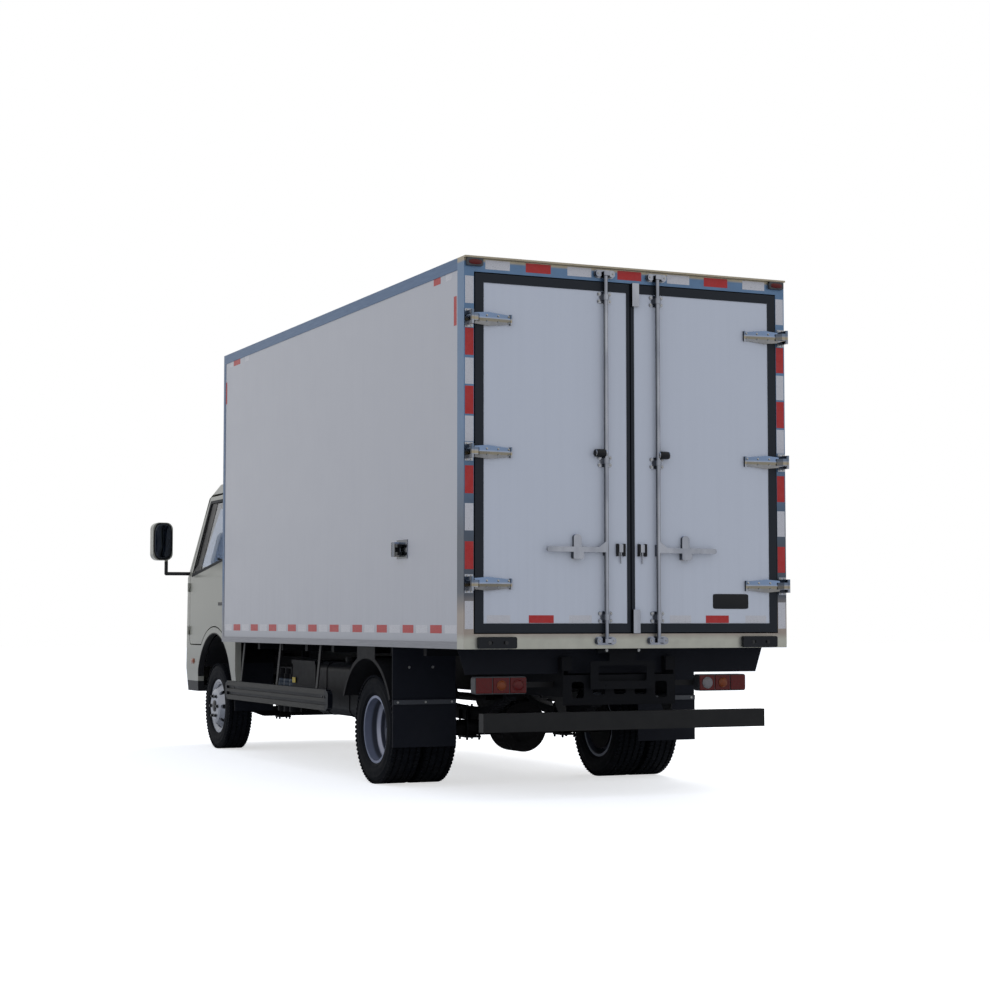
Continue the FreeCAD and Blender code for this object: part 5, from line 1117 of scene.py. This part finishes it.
SLEEVE_R = 0.0462
canister = [(0.03, 0.06), (SLEEVE_R - 0.001, 0.062), (SLEEVE_R, 0.07)]
for step in range(5):
    z = 0.09 + step * 0.028
    canister += [(SLEEVE_R, z), (SLEEVE_R - 0.0014, z + 0.004), (SLEEVE_R, z + 0.008)]
canister += [(SLEEVE_R, 0.226), (SLEEVE_R - 0.0017, 0.236), (0.03, 0.238)]
for i, x in enumerate((0.928, 1.058, 1.189)):
    turned("canister_%d" % i, canister, (x, 0.62, 0.32), CANISTER, "chassis", "tank_metal",
           axis="Z", steps=36)
print("catch jaws, canisters and patch made")

# %% [markdown]
# Cab trim. Rubber gaskets run round the windows: a strip with an inner and an outer edge, both
# dropped onto the painted skin by rays. The front of each side window is a wide black band.

# %% Window gaskets
X, Y = 0, 1
SINK = 0.004


def gasket(name, corners, along, inward, outward, seat, thick, body, steps=14):
    """A strip round a closed outline of corners (u, v), with u along X or Y and v along Z.
    seat(u, v) gives the skin's place and its outward way."""
    around = []
    for i, (u0, v0) in enumerate(corners):
        u1, v1 = corners[(i + 1) % len(corners)]
        around += [(u0 + (u1 - u0) * k / steps, v0 + (v1 - v0) * k / steps) for k in range(steps)]
    mid_u, mid_v = (sum(c) / len(corners) for c in zip(*corners))
    spread_u = max(abs(u - mid_u) for u, _ in corners)
    spread_v = max(abs(v - mid_v) for _, v in corners)
    rings = []
    for u, v in around:
        du, dv = (u - mid_u) / spread_u, (v - mid_v) / spread_v
        place, out = seat(u + du * outward, v + dv * outward)
        inner = place.copy()
        inner[along] = u - du * inward
        inner.z = v - dv * inward
        rings.append([place - out * SINK, place + out * thick, inner + out * thick,
                      inner - out * SINK])
    loft(name, rings, RUBBER, body, "black_rubber", smooth=False)


WINDOW = ((2.746, 1.328), (2.486, 1.898), (1.77, 1.898), (1.77, 1.455))
BAND_Z, BAND_SLOPE, BAND_WIDTH, BAND_TAPER, STEPS = (1.36, 1.885), 0.456, 0.15, 0.02, 8
for side, sign in SIDES:
    body = "cab_door_" + side

    def on_side(x, z):
        return from_side(side + "_cab_door", sign, x, z)[0], Vector((0, sign, 0))

    def on_pane(x, z):
        """A place on the glass, or on the door where there is no glass behind."""
        start, way = Vector((x, sign * BESIDE, z)), Vector((0, -sign, 0))
        hit, place, _, _ = nodes[side + "_cab_door_glass"].ray_cast(start, way)
        return place if hit else on_side(x, z)[0]

    gasket(side + "_window_gasket", WINDOW, X, 0.014, 0.012, on_side, 0.003, body)
    rings = []
    for k in range(STEPS + 1):
        z = BAND_Z[0] + (BAND_Z[1] - BAND_Z[0]) * k / STEPS
        front = WINDOW[0][0] - (z - WINDOW[0][1]) * BAND_SLOPE - 0.012
        back = front - BAND_WIDTH - BAND_TAPER * (1.9 - z)
        fore, aft = on_pane(front, z), on_pane(back, z)
        outer, inner = Vector((0, sign * 0.0025, 0)), Vector((0, sign * 0.001, 0))
        rings.append([fore + outer, fore - inner, aft - inner, aft + outer])
    loft(side + "_window_band", rings, KNOB, body, "black_rubber", closed=False, smooth=False)
print("side windows trimmed")

# %% [markdown]
# The windscreen has a wider rubber border, and two wipers rest on the glass. A wiper's blade is a
# low ridge that follows the pane from end to end.

# %% Windscreen border and wipers
SCREEN = ((0.77, 1.375), (0.69, 1.89), (-0.69, 1.89), (-0.77, 1.375))
RIDGE = ((-0.008, 0.002), (-0.003, 0.012), (0.003, 0.012), (0.008, 0.002))
WIPERS = (("left", (0.1, 1.4), (0.62, 1.47)), ("right", (-0.55, 1.4), (-0.03, 1.47)))


def on_front(y, z):
    return from_front("cab_shell", y, z)[0], Vector((1, 0, 0))


gasket("screen_gasket", SCREEN, Y, 0.03, 0.012, on_front, 0.004, "chassis", steps=20)
for name, start, end in WIPERS:
    rings = []
    for k in range(STEPS + 1):
        y, z = (a + (b - a) * k / STEPS for a, b in zip(start, end))
        place, _ = from_front("windscreen", y, z)
        rings.append([place + Vector((dx, 0, dz)) for dz, dx in RIDGE])
    loft(name + "_wiper", rings, KNOB, "chassis", "black_rubber", closed=False, smooth=False)
print("windscreen trimmed")

# %% [markdown]
# The front seldom shows in such a photograph, so this face is a plain one of its kind: a black
# panel under the windscreen with low ribs, and a bright strip over the lower grille. Both follow
# the curved skin, because each point of them is dropped onto it by a ray. A radiator stands
# behind the grille.

# %% Front garnish
CREST = 0.002


def skin_band(name, half, z0, z1, lift, finish, slot, ribs=0):
    """A band over the cab's skin, from a front sheet, a sheet sunk in the skin, and a rim."""
    rows = 4 * ribs + 1 if ribs else 2
    steps, width = 24, 25
    verts, faces = [], []
    for side_lift in (lift, -0.003):
        for j in range(rows):
            z = z0 + (z1 - z0) * j / (rows - 1)
            crest = CREST * (j % 4 in (1, 2)) if ribs and side_lift > 0 else 0
            for i in range(width):
                place, _ = from_front("cab_shell", -half + 2 * half * i / steps, z)
                verts.append(place + Vector((side_lift + crest, 0, 0)))
    sheet = rows * width
    for j in range(rows - 1):
        for i in range(steps):
            n = j * width + i
            faces += [(n, n + 1, n + width + 1, n + width),
                      (sheet + n, sheet + n + width, sheet + n + width + 1, sheet + n + 1)]
    rim = list(range(width)) + [j * width + steps for j in range(1, rows)]
    rim += [(rows - 1) * width + i for i in reversed(range(steps))]
    rim += [j * width for j in reversed(range(1, rows - 1))]
    faces += [(n, n + sheet, m + sheet, m) for n, m in zip(rim, rim[1:] + rim[:1])]
    piece(name, verts, faces, finish, "chassis", slot)


skin_band("front_panel", 0.62, 1.1, 1.25, 0.004, KNOB, "black_rubber", ribs=4)
skin_band("grille_strip", 0.46, 0.8, 0.82, 0.0028, BOLT, "stainless")
radiator = [(NOSE - 0.215, NOSE - 0.2, -0.44, 0.44, 0.47, 0.78)]
radiator += [(NOSE - 0.202, NOSE - 0.19, y / 100 - 0.004, y / 100 + 0.004, 0.48, 0.77)
             for y in range(-42, 43, 4)]
blocks("radiator", radiator, 0.001, KNOB, "chassis")
print("front garnish made")

# %% [markdown]
# The last of the cab's outside: mirror glasses in black rims, door handles, the amber side
# markers, two reflectors with a turn signal beside them in each headlamp, and hub caps.

# %% Mirrors, handles, markers, headlamps and hubs
HANDLE_X, HANDLE_Z = (1.8, 1.94), (1.085, 1.11)
LIGHTS = ((0.63, (0.045, 0.045), REFLECTOR), (0.72, (0.034, 0.034), REFLECTOR),
          (0.787, (0.022, 0.04), AMBER_LENS))
for side, sign in SIDES:
    place, _ = landing("mirrors", (2.4, sign * 1.096, 1.6), (1, 0, 0))
    dome(side + "_mirror_rim", place, (0.076, 0.146), 0.004, KNOB, "chassis", "mirror_case",
         power=3.4, rings=PLATE)
    dome(side + "_mirror_glass", place - Vector((0.003, 0, 0)), (0.066, 0.134), 0.003, MIRROR,
         "chassis", "mirror_case", power=3.4, rings=PLATE)
    place, _ = from_side(side + "_cab_door", sign, 1.86, 1.1)
    y = abs(place.y)
    grip = [mirrored_box(sign, *HANDLE_X, y + 0.012, y + 0.024, *HANDLE_Z)]
    grip += [mirrored_box(sign, x, x + 0.02, y - 0.004, y + 0.02, HANDLE_Z[0] + 0.002,
                          HANDLE_Z[1] - 0.002) for x in (HANDLE_X[0], HANDLE_X[1] - 0.02)]
    blocks(side + "_door_handle", grip, 0.004, KNOB, "cab_door_" + side)
    place, _ = from_side("front_bumper", sign, 2.7, 0.655)
    dome(side + "_side_marker", place - Vector((0, sign * 0.001, 0)), (0.05, 0.022), 0.012,
         AMBER_LENS, "chassis", "lamp_lens", out=(0, sign, 0), power=3.0)
    for i, (y, radii, finish) in enumerate(LIGHTS):
        place, _ = from_front("headlamps", sign * y, 0.705)
        dome("%s_headlamp_%d" % (side, i), place - Vector((0.012, 0, 0)), radii, 0.011, finish,
             "chassis", "headlamp" if finish is REFLECTOR else "lamp_lens", out=(1, 0, 0))
    beside, _ = from_side("front_%s_rim" % side, sign, FRONT_AXLE + 0.021, AXLE_Z + 0.013)
    dome(side + "_hub_cap", (FRONT_AXLE, beside.y, AXLE_Z), (0.043, 0.043), 0.012, DARK_BOLT,
         "wheel_front_" + side, "wheel_silver", out=(0, sign, 0))
print("cab trimmed")

# %% [markdown]
# The cooling unit breathes through two fan openings. A guard of wire rings covers each. The
# rings follow a rule, one every 16 mm, so Geometry Nodes grow them: a line of points, a circle
# on each point scaled by its place in the line, and a wire along the circles and the spokes.

# %% Fan guards
FAN_R, FAN_Y, FAN_Z = 0.14, 0.31, 2.625
SPOKE_R = FAN_R + 0.006
GUARD_RINGS, RING_GAP, WIRE_R = 9, 0.0157, 0.0018


def guard_tree():
    g, given = geometry_tree("wire_guard", {"Spokes": "Geometry", "Rings": "Int",
                                            "Spacing": "Float", "Wire radius": "Float",
                                            "Centre": "Vector", "Finish": "Material"})
    line = g.add("GeometryNodeMeshLine", {"Count": given["Rings"], "Offset": (0, 0, 0)})
    number = g.add("GeometryNodeInputIndex")
    circle = g.add("GeometryNodeCurvePrimitiveCircle", {"Resolution": 40, "Radius": 1.0})
    size = (number + 1) * given["Spacing"]
    rings = g.add("GeometryNodeInstanceOnPoints", {"Points": line, "Instance": circle,
                                                   "Scale": size,
                                                   "Rotation": (0.0, math.pi / 2, 0.0)})
    rings = g.add("GeometryNodeRealizeInstances", {0: rings})
    spokes = g.add("GeometryNodeMeshToCurve", {0: given["Spokes"]})
    wires = g.add("GeometryNodeJoinGeometry", {0: [rings, spokes]})
    shape = g.add("GeometryNodeCurvePrimitiveCircle", {"Resolution": 6,
                                                       "Radius": given["Wire radius"]})
    wire = g.add("GeometryNodeCurveToMesh", {"Curve": wires, "Profile Curve": shape,
                                             "Fill Caps": True})
    moved = g.add("GeometryNodeTransform", {"Geometry": wire, "Translation": given["Centre"]})
    return close(g, moved, given["Finish"])


GUARD_WIRES = guard_tree()
for side, sign in SIDES:
    rim, _ = from_front("cooling_unit", sign * FAN_Y, FAN_Z + FAN_R + 0.012)
    angles = [math.pi * k / 3 + math.pi / 6 for k in range(6)]
    spokes = bpy.data.meshes.new("spokes")
    spokes.from_pydata([(0, SPOKE_R * math.cos(a), SPOKE_R * math.sin(a)) for a in angles],
                       [(k, k + 3) for k in range(3)], [])
    values = {"Rings": GUARD_RINGS, "Spacing": RING_GAP, "Wire radius": WIRE_R,
              "Centre": (rim.x + 0.002, sign * FAN_Y, FAN_Z), "Finish": KNOB}
    grow(side + "_fan_guard", GUARD_WIRES, values, "chassis", spokes)
print("fan guards made")

# %% [markdown]
# A seat is foam under cloth: crowned in the middle, pulled in at its corners, and sewn into
# channels. Each cushion starts as a cube cut into a fine grid. Every point is pushed toward a
# rounded box, then swelled most where it is far from the edges, and the sewn lines are pressed
# in. Cloth simulation would swell them too, but behind a cab window these moves in code give
# the same look in a moment.

# %% Seats
SQUARENESS, SEAM_WIDTH, SEAM_DEPTH = 7, 0.035, 0.008


def cushion(name, low, high, lean, channels, crown=0.018):
    work = bmesh.new()
    bmesh.ops.create_cube(work, size=2)
    bmesh.ops.subdivide_edges(work, edges=work.edges[:], cuts=15, use_grid_fill=True)
    half = [(b - a) / 2 for a, b in zip(low, high)]
    centre = [(b + a) / 2 for a, b in zip(low, high)]
    thin = half.index(min(half))
    seams = [(-1 + 2 * (k + 1) / (channels + 1)) * 0.9 for k in range(channels)]
    for v in work.verts:
        length = sum(abs(c) ** SQUARENESS for c in v.co) ** (1 / SQUARENESS)
        p = [c / length for c in v.co]
        flat = [p[i] for i in range(3) if i != thin]
        swell = (1 - flat[0] ** 2) * (1 - flat[1] ** 2)
        seam = sum(math.exp(-((p[Y] - s) / SEAM_WIDTH) ** 2) for s in seams) * (abs(p[thin]) > 0.5)
        p[thin] *= 1 - crown / half[thin] * (1 - swell) - SEAM_DEPTH / half[thin] * seam
        v.co = Vector([centre[i] + half[i] * p[i] for i in range(3)])
        v.co.x -= lean * (v.co.z - low[2])
    bmesh.ops.recalc_face_normals(work, faces=work.faces)
    mesh = bpy.data.meshes.new(name)
    work.to_mesh(mesh)
    work.free()
    mesh.materials.append(CLOTH)
    mesh.shade_smooth()
    return show(name, mesh, "chassis")


SEATS = (("driver", 0.28, 0.76, 2, (0.52,)), ("bench", -0.76, 0.06, 3, (-0.56, -0.14)))
seat_parts = []
for name, y0, y1, channels, heads in SEATS:
    parts = [cushion(name + "_cushion", (1.79, y0, 0.935), (2.29, y1, 1.12), 0.0, channels),
             cushion(name + "_backrest", (1.8, y0 + 0.01, 1.06), (1.93, y1 - 0.01, 1.5), 0.12,
                     channels)]
    for i, y in enumerate(heads):
        parts.append(cushion("%s_headrest_%d" % (name, i), (1.78, y - 0.12, 1.5),
                             (1.86, y + 0.12, 1.625), 0.05, 0, 0.01))
    seat_parts += parts
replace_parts(seat_parts[0], "seats")
print(len(seat_parts), "padded seat parts made")

# %% [markdown]
# The floor is plain and pale. To the camera it adds some light of its own, so that it reads as
# white paper and still keeps the truck's shadow. The world lights the truck softly and is white
# where the camera, a reflection or a pane of glass looks at it.

# %% Stage and light
FLOOR_HALF, SKY = 60, (0.68, 0.735, 0.84)


def bare_tree(owner):
    """The node tree of a material or a world, emptied."""
    owner.use_nodes = True
    owner.node_tree.nodes.clear()
    return Nodes(owner.node_tree)


def add_floor():
    mesh = bpy.data.meshes.new("floor")
    corners = [(x * FLOOR_HALF, y * FLOOR_HALF, 0) for x, y in ((-1, -1), (1, -1), (1, 1), (-1, 1))]
    mesh.from_pydata(corners, [], [(0, 1, 2, 3)])
    floor = bpy.data.objects.new("floor", mesh)
    bpy.context.scene.collection.objects.link(floor)
    material = bpy.data.materials.new("floor_paper")
    n = bare_tree(material)
    seen = n.add("ShaderNodeLightPath", out="Is Camera Ray")
    paper = n.add("ShaderNodeBsdfDiffuse", {"Color": (0.72, 0.72, 0.72)})
    glow = n.add("ShaderNodeEmission", {"Strength": seen * 0.62})
    n.end("ShaderNodeOutputMaterial", "Surface", n.add("ShaderNodeAddShader", {0: paper, 1: glow}))
    mesh.materials.append(material)
    floor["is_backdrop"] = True


def add_world():
    world = bpy.data.worlds.new("soft_world")
    bpy.context.scene.world = world
    n = bare_tree(world)
    camera, glossy, glass = (n.add("ShaderNodeLightPath", out="Is %s Ray" % kind)
                             for kind in ("Camera", "Glossy", "Transmission"))
    colour = n.mix((camera + glossy + glass).clamped(), SKY, (1, 1, 1))
    light = n.add("ShaderNodeBackground", {"Color": colour, "Strength": 1.0})
    n.end("ShaderNodeOutputWorld", "Surface", light)


def add_lamp(name, place, aim, size, energy, colour=(1, 1, 1)):
    data = bpy.data.lights.new(name, "AREA")
    data.size = size
    data.energy = energy
    data.color = colour
    lamp = bpy.data.objects.new(name, data)
    lamp.location = place
    lamp.rotation_euler = (Vector(aim) - Vector(place)).to_track_quat("-Z", "Y").to_euler()
    bpy.context.scene.collection.objects.link(lamp)


add_floor()
add_world()
add_lamp("key", (9, -7, 9), (0, 0, 1), 6, 900, (1, 0.97, 0.92))
add_lamp("side", (-6, 12, 6), (0, 0, 1.2), 7, 40)
bpy.context.scene.view_settings.view_transform = "Standard"
print("stage and lights made")

# %% [markdown]
# The last cell prints the box of the dressed truck.

# %% Size of the dressed truck
low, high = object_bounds()
print("dressed box", tuple(low), tuple(high))
